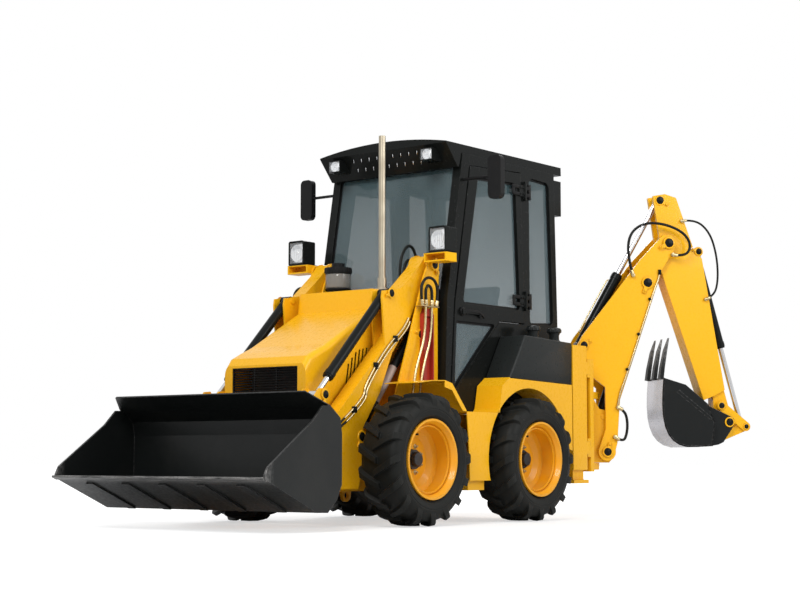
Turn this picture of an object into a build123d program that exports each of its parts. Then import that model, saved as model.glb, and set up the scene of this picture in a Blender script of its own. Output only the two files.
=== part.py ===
from build123d import *
from collections import namedtuple
import math
import os

os.makedirs("parts", exist_ok=True)

# Compact backhoe loader on four equal wheels. Lengths are in mm.
# While drawing, X = 0 is the machine's centreline, Y = 0 the front axle and Z = 0 the ground.
# The front looks along -Y and the machine's left is +X.
# Every piece is shifted by this at the end, so that the frame sits under the box's middle.
shift_x = -250.0
shift_y = -754.0

# Running gear
wheelbase = 1060.0
tyre_radius = 370.0
tyre_tread_radius = 346.0
tyre_shoulder = 32.0
tyre_width = 264.0
wheel_outer_x = 780.0
rim_radius = 222.0
rim_seat_radius = 205.0
rim_disc = 12.0
rim_disc_x = 38.0
lugs_per_side = 16
lug_length = 116.0
lug_width = 34.0
lug_lean = 28.0
hub_radius = 55.0
hub_flange_radius = 92.0
axle_tube_radius = 60.0

# Frame
frame_half = 300.0
frame_front = -430.0
frame_rear_overhang = 470.0
frame_bottom = 190.0
frame_top = 640.0
frame_plate = 10.0
body_half = 690.0
arch_radius = 424.0
fender_sheet = 6.0

# Loader
arm_inner_x = 330.0
arm_width = 90.0
arm_plate = 12.0
tower_gap = 20.0
arm_pivot = (420.0, 1500.0)
carrier_pivot = (-640.0, 270.0)
tilt_base = (62.0, 1308.0)
tilt_eye = (-525.0, 715.0)
lift_base = (300.0, 1085.0)
lift_eye = (-190.0, 492.0)
loader_pin_radius = 20.0
arm_pin_radius = 30.0
cross_tube_radius = 38.0
cross_tube = (-480.0, 240.0)
bucket_half_width = 780.0
bucket_skin = 8.0
bucket_side = 12.0

# Hood and cab
hood_half = 305.0
hood_sheet = 4.0
hood_fillet = 34.0
cab_half_width = 500.0
cab_wall = 45.0
cab_floor = 700.0
cab_top = 2190.0
glass_thickness = 5.0
door_thickness = 34.0
door_gap = 6.0

# Backhoe, drawn straight back from the kingpost's axis and then slewed and placed
kingpost_x = 520.0
kingpost_y = 1970.0
slew_rest = 40.0
boom_foot = (101.0, 415.0)
boom_ram_base = (85.0, 640.0)
boom_ram_eye = (387.0, 1513.0)
elbow = (536.0, 1778.0)
dipper_ram_base = (-50.0, 1100.0)
dipper_ram_eye = (495.0, 2065.0)
bucket_ram_base = (757.0, 1731.0)
lever_pivot = (892.0, 717.0)
lever_pin = (1062.0, 581.0)
bucket_hinge = (938.0, 609.0)
link_pin = (867.0, 502.0)
boom_half_width = 100.0
dipper_half_width = 62.0
hoe_bucket_half_width = 150.0
hoe_pin_radius = 20.0
elbow_pin_radius = 26.0
kingpost_pin_radius = 30.0
carriage_lug_radius = 75.0
stabiliser_stroke = 450.0

# Tie-down eyes under the frame, behind the front and the rear wheels
tie_radius = 20.0
tie_height = 152.0
tie_x = 200.0
tie_plate = 20.0
tie_front_y = 400.0
tie_rear_y = wheelbase + 352.0

# Hoses
hose_radius = 9.0
hose_arc_share = 0.45

# Clearances
side_gap = 6.0
eye_gap = 1.0
seat_gap = 0.3
pin_fit = 0.05

# Places that follow from the sizes above
arm_outer_x = arm_inner_x + arm_width
arm_mid_x = arm_inner_x + arm_width / 2
tower_inner_x = arm_inner_x - side_gap
tower_outer_x = arm_outer_x + tower_gap
frame_rear = wheelbase + frame_rear_overhang
tyre_half = tyre_width / 2
tyre_mid_x = wheel_outer_x - tyre_half
lug_reach = (lug_length * math.sin(math.radians(lug_lean)) + lug_width * math.cos(math.radians(lug_lean))) / 2
axle_height = math.sqrt(tyre_radius ** 2 - lug_reach ** 2)
rail_y = frame_rear + 170
rail_depth = 40.0
carriage_y = rail_y + rail_depth + seat_gap


def outline(points):
    return make_face(Polyline(*points, close=True))


def prism(points, x0, x1, margin=0.0, round_by=0.0):
    """A side outline of (y, z) corners, drawn margin inwards and pushed from x0 to x1."""
    face = outline(points)
    if margin:
        face = offset(face, -margin, kind=Kind.INTERSECTION)
    if round_by:
        face = fillet(face.vertices(), round_by)
    return extrude(Plane.YZ.offset(x0) * face, amount=x1 - x0)


def box(x0, x1, y0, y1, z0, z1):
    return Pos((x0 + x1) / 2, (y0 + y1) / 2, (z0 + z1) / 2) * Box(x1 - x0, y1 - y0, z1 - z0)


def rod_x(at, radius, x0, x1):
    """A round bar along X about the point (y, z)."""
    return Pos((x0 + x1) / 2, at[0], at[1]) * Rot(0, 90, 0) * Cylinder(radius, abs(x1 - x0))


def rod_z(x, y, radius, z0, z1):
    return Pos(x, y, (z0 + z1) / 2) * Cylinder(radius, z1 - z0)


def bar_between(start, end, x, radius, skip, length):
    """A round bar in the plane at x, from skip beyond start towards end."""
    run = math.dist(start, end)
    uy = (end[0] - start[0]) / run
    uz = (end[1] - start[1]) / run
    base = (x, start[0] + skip * uy, start[1] + skip * uz)
    return Plane(origin=base, z_dir=(0, uy, uz)) * Cylinder(
        radius, length, align=(Align.CENTER, Align.CENTER, Align.MIN)
    )


def band(points, thickness, x0, x1):
    """A plate bent along the (y, z) points, its skin laid on their left side."""
    count = len(points)
    inner = []
    for i in range(count):
        before = points[max(i - 1, 0)]
        here = points[i]
        after = points[min(i + 1, count - 1)]
        normals = []
        for a, b in ((before, here), (here, after)):
            run = math.dist(a, b)
            if run > 0:
                normals.append((-(b[1] - a[1]) / run, (b[0] - a[0]) / run))
        ny = sum(n[0] for n in normals) / len(normals)
        nz = sum(n[1] for n in normals) / len(normals)
        size = ny * ny + nz * nz
        inner.append((here[0] + thickness * ny / size, here[1] + thickness * nz / size))
    return prism(list(points) + inner[::-1], x0, x1)


def hull_plate(ends, x0, x1):
    """A plate stretched round discs, each given as ((y, z), radius)."""
    discs = [CenterArc(at, radius, 0, 360) for at, radius in ends]
    return extrude(Plane.YZ.offset(x0) * make_hull(discs), amount=x1 - x0)


def both(shape):
    """The shape and its mirror on the other side of the machine."""
    return shape + mirror(shape, about=Plane.YZ)


def ram(base, eye, x, barrel_radius, rod_radius, barrel_end, push, pull, eye_half, pin_radius):
    """Barrel and rod of a cylinder between two (y, z) pins, in the plane at x.

    The rod reaches into the bored barrel far enough to move out by push and in by pull.
    """
    run = math.dist(base, eye)
    held = push + 20
    bore_start = barrel_end - held - pull - 5
    barrel = bar_between(base, eye, x, barrel_radius, 0, barrel_end)
    barrel += bar_between(base, eye, x, barrel_radius + 3, barrel_end - 40, 30)
    barrel += rod_x(base, barrel_radius - 2, x - eye_half, x + eye_half)
    barrel -= bar_between(base, eye, x, rod_radius + pin_fit, bore_start, run)
    barrel -= rod_x(base, pin_radius + pin_fit, x - 100, x + 100)
    rod = bar_between(base, eye, x, rod_radius, barrel_end - held, run - barrel_end + held)
    rod += rod_x(eye, rod_radius + 9, x - eye_half, x + eye_half)
    return barrel, rod


def hose(points, radius):
    """An eight-sided hose of straight runs joined by arcs through (x, y, z) points."""
    radii = []
    for before, here, after in zip(points, points[1:], points[2:]):
        back = Vector(*before) - Vector(*here)
        ahead = Vector(*after) - Vector(*here)
        turn = math.radians(180 - back.get_angle(ahead))
        radii.append(hose_arc_share * min(back.length, ahead.length) / math.tan(turn / 2))
    print("hose radii", [round(r) for r in radii])
    path = FilletPolyline(*points, radius=radii)
    return sweep(Plane(origin=points[0], z_dir=path % 0) * RegularPolygon(radius, 8), path=path)


def side_hose(route, x, radius):
    """A hose along (y, z) points in the plane at x."""
    return hose([(x, y, z) for y, z in route], radius)


def save(name, shape):
    export_step(Pos(shift_x, shift_y, 0) * shape, f"parts/{name}.step")


hoe_place = Pos(kingpost_x, kingpost_y, 0) * Rot(0, 0, -slew_rest)


def save_hoe(name, shape):
    save(name, hoe_place * shape)


# Wheels
Wheel = namedtuple("Wheel", "name side y")
wheels = (
    Wheel("fl", 1, 0.0),
    Wheel("fr", -1, 0.0),
    Wheel("rl", 1, wheelbase),
    Wheel("rr", -1, wheelbase),
)
axle_rows = (0.0, wheelbase)
bead_half = tyre_half - 22


def tyre_ring(radius, x0, x1):
    """A block about the X axis, with one flat for each lug."""
    face = Plane.YZ.offset(x0) * RegularPolygon(radius, 2 * lugs_per_side)
    return extrude(face, amount=x1 - x0)


def make_tyre():
    """Tyre about the X axis: a ring of flats with sunk sidewalls and bead seats, and the lugs."""
    tyre = tyre_ring(tyre_tread_radius, -tyre_half, tyre_half)
    corners = tyre.edges().filter_by(lambda e: abs(abs(e.center().X) - tyre_half) < 1)
    tyre = chamfer(corners, tyre_shoulder)
    wall_radius = tyre_tread_radius - tyre_shoulder - 14
    for radius, x in ((wall_radius, tyre_half - 8), (rim_radius + 10, bead_half - seat_gap)):
        tyre -= tyre_ring(radius, x, tyre_half + 1)
        tyre -= tyre_ring(radius, -tyre_half - 1, -x)
    tyre -= Rot(0, 90, 0) * Cylinder(rim_seat_radius + seat_gap, tyre_width)
    lug_height = axle_height - tyre_tread_radius + 14
    for i in range(2 * lugs_per_side):
        side = 1 if i % 2 else -1
        lug = Pos(side * (tyre_half - 62), 0, axle_height - lug_height / 2)
        lug = lug * Rot(0, 0, side * lug_lean) * Box(lug_length, lug_width, lug_height)
        tyre += Rot(i * 180 / lugs_per_side, 0, 0) * lug
    return tyre


def make_rim():
    """Dished rim for a left wheel, about the X axis with the outside at +X."""
    outer = tyre_half - 6
    profile = (
        (outer, rim_radius), (outer, rim_radius - 12), (outer - 26, rim_seat_radius - 8),
        (rim_disc - rim_disc_x + 30, rim_seat_radius - 18), (rim_disc - rim_disc_x + 22, 158),
        (rim_disc - rim_disc_x, 128), (rim_disc - rim_disc_x, hub_radius + pin_fit),
        (-rim_disc_x, hub_radius + pin_fit), (-rim_disc_x, 134), (-rim_disc_x - 10, rim_seat_radius - 12),
        (-outer, rim_seat_radius - 8), (-outer, rim_radius), (-bead_half, rim_radius),
        (-bead_half, rim_seat_radius), (bead_half, rim_seat_radius), (bead_half, rim_radius),
    )
    return revolve(outline(profile), axis=Axis.X)


tyre = make_tyre()
rim = make_rim()
for wheel in wheels:
    turned = Pos(wheel.side * tyre_mid_x, wheel.y, axle_height) * Rot(0, 0, 0 if wheel.side > 0 else 180)
    save(f"tyre_{wheel.name}", turned * tyre)
    save(f"rim_{wheel.name}", turned * rim)

# Axles, each with a flange behind the rims' discs and a spigot through them
flange_x = tyre_mid_x - rim_disc_x - seat_gap
axles = Part()
for y in axle_rows:
    at = (y, axle_height)
    axles += rod_x(at, axle_tube_radius, -flange_x + 25, flange_x - 25)
    for side in (1, -1):
        axles += rod_x(at, hub_flange_radius, side * (flange_x - 26), side * flange_x)
        axles += rod_x(at, hub_radius, side * (flange_x - 5), side * (flange_x + rim_disc + 22))
save("axles", axles)

# Frame tub with its engine bearers, cab mounts and tie-down eyes
tub_points = (
    (frame_front + 100, frame_bottom), (frame_rear, frame_bottom), (frame_rear, frame_top),
    (frame_front, frame_top), (frame_front, 350), (frame_front + 100, 300),
)
tub = prism(tub_points, -frame_half, frame_half)
tub -= prism(tub_points, frame_plate - frame_half, frame_half - frame_plate, margin=frame_plate)
tub -= box(60 - frame_half, frame_half - 60, frame_front + frame_plate, frame_rear - 60, 600, 700)
for y in axle_rows:
    tub -= rod_x((y, axle_height), axle_tube_radius + seat_gap, -400, 400)
engine_front = -400.0
engine_rear = 150.0
engine_bottom = 440.0
for y in (engine_front + 40, engine_rear - 90):
    tub += box(-frame_half + 5, frame_half - 5, y, y + 50, engine_bottom - 40, engine_bottom - seat_gap)
for y in (620.0, wheelbase + 440):
    tub += both(rod_z(frame_half - 50, y, 32, frame_top - 5, cab_floor - seat_gap))
tie_top = frame_bottom + 5
for y in (tie_front_y, tie_rear_y):
    eye = hull_plate((((y, tie_height), tie_radius + 18), ((y, tie_top), tie_radius + 24)), 0, tie_plate)
    eye = eye & box(-1, tie_plate + 1, y - 200, y + 200, 0, tie_top)
    eye -= rod_x((y, tie_height), tie_radius, -5, tie_plate + 5)
    tub += both(Pos(tie_x - tie_plate / 2, 0, 0) * eye)
save("chassis_frame", tub)
save("engine_block", box(-220, 220, engine_front, engine_rear, engine_bottom, 880))

# Loader towers on a shelf that stands out from the tub
tower_front = 44.0
tower_rear = 462.0
shelf_rear = 420.0
shelf_low = frame_top - 60
tower_foot = frame_top + seat_gap
tower_points = (
    (tower_front, frame_top), (64, 712), (182, 1018), (330, 1420), (376, 1510), arm_pivot, (478, 1470),
    (tower_rear, 1300), (tower_rear, tower_foot), (shelf_rear, tower_foot), (shelf_rear, frame_top),
)
tower = Part()
for x0 in (tower_inner_x - arm_plate, tower_outer_x):
    tower += prism(tower_points, x0, x0 + arm_plate) + rod_x(arm_pivot, 58, x0, x0 + arm_plate)
tower_end = tower_outer_x + arm_plate
tower += box(frame_half + seat_gap, tower_end, tower_front, shelf_rear, shelf_low, frame_top)
tower += box(tower_inner_x - arm_plate, tower_end, tower_rear - 16, tower_rear, tower_foot, 1240)
tower += rod_x(arm_pivot, arm_pin_radius, tower_inner_x - arm_plate - 3, tower_end + 10)
tower += rod_x(lift_base, loader_pin_radius, tower_inner_x - arm_plate - 3, tower_end)
for x0, x1 in ((tower_inner_x, arm_mid_x - 32 - eye_gap), (arm_mid_x + 32 + eye_gap, tower_outer_x)):
    tower += rod_x(lift_base, loader_pin_radius + 10, x0, x1)
save("loader_towers", both(tower))

# Side boxes between the wheels, rounded out by the rear arch
rear_arch = rod_x((wheelbase, axle_height), arch_radius, frame_half, body_half + 50)
side_points = ((452, frame_bottom + 55), (440, 500), (425, frame_top), (wheelbase, frame_top), (wheelbase, 245))
side_box = prism(side_points, frame_half + seat_gap, body_half) - rear_arch
side_box -= box(frame_half + 40, body_half - 6, 300, wheelbase, 200, frame_top - 6)
side_sill = box(frame_half + seat_gap, body_half - 30, 470, 630, frame_bottom, frame_bottom + 60)
save("side_boxes", both(side_box + side_sill))

# Hood: a sheet body with the grille opening in front and slots in its sides
nose_y = -530.0
riser_y = 62.0
hood_rear = 250.0
hood_low = frame_top + seat_gap
hood_top = 1345.0
hood_points = (
    (nose_y, hood_low), (nose_y, 890), (-500, 932), (-430, 966), (-340, 1004), (riser_y, 1228),
    (riser_y + 14, hood_top), (hood_rear, hood_top), (hood_rear, hood_low),
)


def hood_body(margin, low):
    body = prism(hood_points, margin - hood_half, hood_half - margin, margin=margin)
    top = body.edges().filter_by(lambda e: abs(abs(e.center().X) - hood_half + margin) < 1)
    top = top.filter_by(lambda e: e.center().Z > 850 and e.center().Y < hood_rear - margin - 1)
    body = fillet(top, hood_fillet - margin)
    if low:
        body += box(margin - hood_half, hood_half - margin, nose_y + margin, hood_rear - margin, low, hood_low + 20)
    return body


hood = hood_body(0.0, None) - hood_body(hood_sheet, hood_low - 10)
grille_half = 246.0
grille_low = 690.0
grille_top = 916.0
grille_y = nose_y + 16
hood -= box(-grille_half, grille_half, nose_y - 20, nose_y + 30, grille_low, grille_top - 40)
Slot = namedtuple("Slot", "y low high")
side_slots = (
    Slot(-190, 770, 900), Slot(-158, 790, 935), Slot(-126, 812, 968),
    Slot(-94, 835, 985), Slot(-62, 858, 992), Slot(-30, 885, 998),
)
for slot in side_slots:
    slot_points = ((slot.y - 7, slot.low), (slot.y + 7, slot.low), (slot.y + 29, slot.high), (slot.y + 15, slot.high))
    hood -= both(prism(slot_points, hood_half - 20, hood_half + 20))
save("engine_hood", hood)

# Grille: a frame of bars behind the nose's opening
bar_count = 13
bar_pitch = (grille_top - 40 - grille_low) / bar_count
grille = box(-grille_half - 8, grille_half + 8, nose_y + 4.3, grille_y, grille_low - 8, grille_top - 32)
grille -= box(-grille_half + 6, grille_half - 6, nose_y, grille_y + 9, grille_low + 6, grille_top - 46)
for i in range(1, bar_count):
    z = grille_low + i * bar_pitch
    grille += Pos(0, (nose_y + grille_y) / 2 + 2, z) * Rot(25, 0, 0) * Box(2 * grille_half - 8, 9, 5)
for x in (-82.0, 82.0):
    grille += box(x - 4, x + 4, grille_y - 8, grille_y, grille_low, grille_top - 40)
save("front_grille", grille)

# The cab's outline, which the cowl, panes, roof and door follow
cab_front = 470.0
cab_knee = (492.0, 1300.0)
cab_brow = (650.0, cab_top)
cab_rear_low = wheelbase + 600
cab_rear_top = wheelbase + 570
belt = 1200.0


def along(start, end, z):
    """The y at height z on the line through two (y, z) points."""
    return start[0] + (end[0] - start[0]) * (z - start[1]) / (end[1] - start[1])


def cab_front_at(z):
    """The y of the cab's front at height z."""
    if z < cab_knee[1]:
        return along((cab_front, cab_floor), cab_knee, z)
    return along(cab_knee, cab_brow, z)


def cab_rear_at(z):
    """The y of the cab's rear at height z above the belt."""
    return along((cab_rear_low, belt), (cab_rear_top, cab_top), z)


# Exhaust on the hood's left rear, with a flange at its foot and a cut-away mouth
stack_x = 262.0
stack_y = 180.0
stack_radius = 20.0
stack = rod_z(stack_x, stack_y, stack_radius, hood_top + seat_gap, 2250)
stack -= rod_z(stack_x, stack_y, stack_radius - 3, 1500, 2260)
stack += rod_z(stack_x, stack_y, 40, hood_top + seat_gap, hood_top + 10)
stack += rod_z(stack_x, stack_y, 26, hood_top + 5, hood_top + 70)
save("exhaust_stack", stack)

# Black cowl between hood and cab, with the intake bowl on it
cowl_points = (
    (hood_rear + seat_gap, 900), (hood_rear + seat_gap, 1300), (300, 1318),
    (cab_front_at(1318) - seat_gap, 1318), (cab_knee[0] - seat_gap, cab_knee[1]),
    (cab_front_at(900) - seat_gap, 900),
)
cowl = prism(cowl_points, -hood_half, hood_half) - prism(cowl_points, 8 - hood_half, hood_half - 8, margin=8)
bowl_x = -215.0
bowl_y = 345.0
cleaner = cowl + rod_z(bowl_x, bowl_y, 40, 1312, 1350) + rod_z(bowl_x, bowl_y, 68, 1345, 1375)
bowl = Pos(bowl_x, bowl_y, 1370) * Cone(66, 74, 120, align=(Align.CENTER, Align.CENTER, Align.MIN))
cleaner += bowl + rod_z(bowl_x, bowl_y, 82, 1488, 1520) + rod_z(bowl_x, bowl_y, 40, 1518, 1548)
save("air_cleaner", cleaner)

# Cab: a hollow body of posts, rails and panels, with the windows and the door's opening cut
cab_points = (
    (cab_front, cab_floor), cab_knee, cab_brow, (cab_rear_top, cab_top), (cab_rear_low, belt),
    (cab_rear_low, cab_floor),
)
door_points = (
    (716, 2125), (1254, 2150), (1287, 1200), (1018, 1199), (608, 802), (566, 740), (518, 740), (561, 1301),
)
rear_quarter = ((1345, 2130), (1570, 2120), (1612, 1215), (1350, 1200))
upper_window = ((797, 2060), (1190, 2075), (1233, 1285), (640, 1285))
cab = prism(cab_points, -cab_half_width, cab_half_width)
cab -= prism(cab_points, cab_wall - cab_half_width, cab_half_width - cab_wall, margin=cab_wall)
skirt = box(cab_half_width - 30, cab_half_width, cab_front + 20, cab_rear_low, frame_top + 5, cab_floor + 5)
cab += both(skirt)
post_in = cab_half_width - 70
cab -= prism(door_points, post_in, cab_half_width + 20)
cab -= prism(upper_window, -cab_half_width - 20, -post_in)
window_round = 40.0
cab -= both(prism(rear_quarter, post_in, cab_half_width + 20, round_by=window_round))
screen_half = cab_half_width - 56
screen_low = 1350.0
screen_high = cab_top - 70
cab -= box(-screen_half, screen_half, 380, 760, screen_low, screen_high)
tail_low = belt + 20
tail_high = cab_top - 80
cab -= box(-screen_half, screen_half, cab_rear_top - 80, cab_rear_low + 40, tail_low, tail_high)
hinge_x = cab_half_width + 15
hinge_y = 1285.0
hinge_rows = (1300.0, 1990.0)
hinge_length = 90.0
hinge_pin_radius = 6.0
for z0 in hinge_rows:
    cab += rod_z(hinge_x, hinge_y, hinge_pin_radius, z0 - 8, z0 + hinge_length + 8)
    for low in (z0 - 16, z0 + hinge_length + 1):
        cab += box(cab_half_width - 1, hinge_x + 6, hinge_y - 6, hinge_y + 12, low, low + 15)
save("cab_frame", cab)


def pane(points, x, round_by):
    """A pane that fits a side opening with the same corners, its inner face at x."""
    return prism(points, x, x + glass_thickness, margin=seat_gap, round_by=round_by)


def leaning_pane(y_low, z_low, y_high, z_high):
    """A front or rear pane as wide as the windscreen's opening."""
    low = z_low + seat_gap
    high = z_high - seat_gap
    points = ((y_low, low), (y_low + glass_thickness, low), (y_high + glass_thickness, high), (y_high, high))
    return prism(points, seat_gap - screen_half, screen_half - seat_gap)


# Fixed panes, each a little inside its opening
panes = both(pane(rear_quarter, cab_half_width - 20, window_round))
panes += prism(upper_window, 15 - cab_half_width, 15 - cab_half_width + glass_thickness, margin=seat_gap)
panes += leaning_pane(cab_front_at(screen_low) + 12, screen_low, cab_front_at(screen_high) + 12, screen_high)
panes += leaning_pane(cab_rear_at(tail_low) - 22, tail_low, cab_rear_at(tail_high) - 22, tail_high)
save("cab_glass", panes)

# Roof: a crowned cap with a visor that slopes down in front, slotted in two rows
roof_low = cab_top + seat_gap
visor_top_y = 491.0
visor_low = (606.0, 2104.0)
roof_points = (
    (visor_top_y, 2236), (visor_top_y, 2300), (cab_rear_top + 90, 2300), (cab_rear_top + 94, roof_low),
    (visor_low[0] + 40, roof_low), (visor_low[0] + 14, visor_low[1]), visor_low,
)
roof_half = 494.0
crown = make_face(
    Polyline((-roof_half, 2243), (-roof_half, 2000), (roof_half, 2000), (roof_half, 2243))
    + ThreePointArc((-roof_half, 2243), (0, 2288), (roof_half, 2243))
)
roof = prism(roof_points, -roof_half, roof_half)
roof &= extrude(Plane.XZ * crown, amount=-4000)
roof -= box(30 - roof_half, roof_half - 30, 690, cab_rear_top + 60, roof_low - 10, 2218)
work_lamp_half = 46.0
work_lamp_x = 360.0
visor_slope = math.degrees(math.atan2(visor_top_y - visor_low[0], 2236 - visor_low[1]))


def visor_at(z):
    """The y of the visor's front at height z."""
    return along(visor_low, (visor_top_y, 2236), z)


for row, z in ((0, 2200), (1, 2150)):
    y = visor_at(z)
    for i in range(9):
        x = (i - 4) * 62
        roof -= Pos(x, y, z) * Rot(-visor_slope, 0, 0) * Rot(0, 24, 0) * Box(10, 24, 34)
save("cab_roof", roof)

# Door, hinged at its rear edge, with a rail between its two panes
door_x0 = cab_half_width - door_thickness
door_x1 = cab_half_width + 5
lower_window = ((576, 1180), (975, 1180), (640, 858), (574, 790), (555, 790))
door = prism(door_points, door_x0, door_x1, margin=door_gap)
upper_round = 28.0
lower_round = 12.0
door -= prism(upper_window, door_x0 - 5, door_x1 + 5, round_by=upper_round)
door -= prism(lower_window, door_x0 - 5, door_x1 + 5, round_by=lower_round)
for z0 in hinge_rows:
    door += box(cab_half_width + 1, hinge_x, hinge_y - 60, hinge_y, z0 + 10, z0 + hinge_length - 10)
    door += rod_z(hinge_x, hinge_y, 11, z0, z0 + hinge_length)
    door -= rod_z(hinge_x, hinge_y, hinge_pin_radius + pin_fit, z0 - 5, z0 + hinge_length + 5)
door += box(door_x1, door_x1 + 22, 612, 800, 1226, 1246)
door += box(door_x1 - 2, door_x1 + 22, 612, 640, 1220, 1252) + box(door_x1 - 2, door_x1 + 22, 780, 800, 1220, 1252)
save("door_frame", door)
pane_x = (door_x0 + door_x1) / 2
door_panes = pane(upper_window, pane_x, upper_round) + pane(lower_window, pane_x, lower_round)
save("door_glass", door_panes)

# Seat on its base, and the driver's controls
floor_z = cab_floor + cab_wall + seat_gap
seat = box(-200, 200, 1040, 1420, floor_z, 900)
cushion = chamfer(box(-235, 235, 1000, 1450, 895, 1020).edges(), 24)
back = Pos(0, 1430, 1250) * Rot(-8, 0, 0) * chamfer(Box(440, 100, 560).edges(), 28)
save("seat", seat + cushion + back)
controls = box(-430, -300, 560, 700, floor_z, 1060) + box(300, 430, 560, 700, floor_z, 1060)
controls += box(-430, 430, 560, 640, floor_z, 1180)
for side in (1, -1):
    controls += box(side * 330 - 60, side * 330 + 60, 1010, 1400, floor_z, 1090)
    controls += Pos(side * 330, 1060, 1085) * Rot(-10, 0, 0) * Cylinder(
        11, 190, align=(Align.CENTER, Align.CENTER, Align.MIN)
    )
save("controls", controls)

# Fenders: rear skins with their arches and front walls, and front guards
fender_low = frame_top + seat_gap
fender_points = ((751, fender_low), (783, 797), (856, 847), (1529, 828), (1529, frame_bottom + 230))
skin_x = body_half - fender_sheet
fender = prism(fender_points, skin_x, body_half) - rear_arch
inner_x = cab_half_width + side_gap
ring = rod_x((wheelbase, axle_height), arch_radius + fender_sheet, inner_x, body_half) - rear_arch
fender += ring & box(400, 800, 700, 1529, fender_low, 900)
fender += band(fender_points[:3], fender_sheet, inner_x, body_half)
front_lip = ((-30, 787), (100, 803), (217, 807), (283, 792), (420, fender_low))
front_guard = band(front_lip, 5, tower_end + seat_gap, body_half)
guard_side = ((217, 772), (283, 757), (388, fender_low), (420, fender_low), (283, 792), (217, 807))
front_guard += prism(guard_side, skin_x, body_half)
save("fenders", both(fender) + both(front_guard))

# Dark tanks over the rear wheels with two filler caps
tank_points = ((857, 847 + seat_gap), (1016, 1112), (1398, 1096), (1534, 1091), (1529, 828 + seat_gap))
tanks = prism(tank_points, inner_x, body_half, round_by=4)
for y in (1238.0, 1470.0):
    tanks += rod_z(600, y, 62, 1085, 1185)
save("side_panels", both(tanks))

# Lamps on brackets at the towers, work lamps under the visor and at the rear posts
head_x0 = 487.0
head_x1 = 610.0
bracket = box(tower_end + seat_gap, head_x1 + 6, 330, 430, 1506, 1560)
bracket -= box(tower_end + 12, head_x1 - 6, 300, 418, 1516, 1552)
bracket -= rod_x(arm_pivot, arm_pin_radius + 8, tower_end, tower_end + 30)
housing = fillet(box(head_x0, head_x1, 330, 440, 1560 - 2, 1712).edges().filter_by(Axis.Y), 14)
housing -= box(head_x0 + 8, head_x1 - 8, 320, 346, 1572, 1702)
work_low = 2138.0
work_high = 2212.0
work_front = 470.0
work_points = (
    (work_front, work_low), (work_front, work_high), (visor_at(work_high) - seat_gap, work_high),
    (visor_at(work_low) - seat_gap, work_low),
)
work = prism(work_points, work_lamp_x - work_lamp_half, work_lamp_x + work_lamp_half)
pocket_half = work_lamp_half - 5
work -= box(work_lamp_x - pocket_half, work_lamp_x + pocket_half, 460, work_front + 12, work_low + 5, work_high - 5)
tail_lamp_low = 1925.0
tail_lamp_high = 2150.0
tail_lamp_points = (
    (cab_rear_at(tail_lamp_low) + seat_gap, tail_lamp_low), (1712, tail_lamp_low), (1712, tail_lamp_high),
    (cab_rear_at(tail_lamp_high) + seat_gap, tail_lamp_high),
)
tail_lamp = prism(tail_lamp_points, cab_half_width - 70, cab_half_width)
save("lamps", both(bracket + housing) + both(work) + both(tail_lamp))
head_lens = box(head_x0 + 8 + seat_gap, head_x1 - 8 - seat_gap, 336, 346 - seat_gap, 1572.3, 1701.7)
lens_half = pocket_half - seat_gap
work_lens = box(
    work_lamp_x - lens_half, work_lamp_x + lens_half, work_front + 2, work_front + 12 - seat_gap,
    work_low + 5 + seat_gap, work_high - 5 - seat_gap,
)
save("lamp_lenses", both(head_lens) + both(work_lens))

# Mirrors on arms from the cab's front posts
mirror_y = 655.0
mirror_head = fillet(box(692, 786, mirror_y - 20, mirror_y + 20, 1892, 2150).edges().filter_by(Axis.Y), 30)
arm_z = 2030.0
mirror_arm = Pos((cab_half_width + 720) / 2, mirror_y, arm_z) * Rot(0, 90, 0) * Cylinder(
    9, 720 - cab_half_width - 2 * seat_gap
)
save("mirrors", both(mirror_head + mirror_arm))

# Hoses that loop between the fittings on a shelf outside each tower, and over the cowl on the left
shelf_z = 1243.0
shelf_x = tower_end + 42
hose_shelf = box(tower_end + seat_gap, shelf_x + 12, 250, 408, shelf_z, shelf_z + 8)
shelf_loops = (
    ((262, shelf_z + 7), (246, 1330), (268, 1392), (325, 1420), (388, 1400), (412, 1335), (392, shelf_z + 7)),
    ((298, shelf_z + 7), (290, 1325), (306, 1368), (338, 1366), (356, 1325), (350, shelf_z + 7)),
)
cowl_top = 1318.0 + seat_gap
cowl_loops = (
    ((322, 1323), (300, 1440), (318, 1560), (385, 1632), (448, 1600), (470, 1500), (458, 1323)),
    ((345, 1323), (335, 1430), (352, 1510), (392, 1545), (426, 1500), (430, 1420), (425, 1323)),
)
tower_loops = hose_shelf
for route in shelf_loops:
    tower_loops += side_hose(route, shelf_x, hose_radius)
cowl_hose_x = hood_half - hose_radius - 2
hoses = both(tower_loops)
for route in cowl_loops:
    hoses += side_hose(route, cowl_hose_x, hose_radius)
    for end in (route[0], route[-1]):
        hoses += rod_z(cowl_hose_x, end[0], hose_radius + 3, cowl_top, cowl_top + 22)
save("tower_hoses", hoses)

# Red strut that locks the raised arm, stowed on the left tower
strut_x = tower_end + seat_gap
strut = prism(((292, 820), (387, 820), (387, 1200), (360, 1236), (316, 1236), (292, 1200)), strut_x, strut_x + 30)
strut -= prism(((300, 800), (379, 800), (379, 1190), (300, 1190)), strut_x + 6, strut_x + 60)
save("lock_strut", strut)

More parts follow.
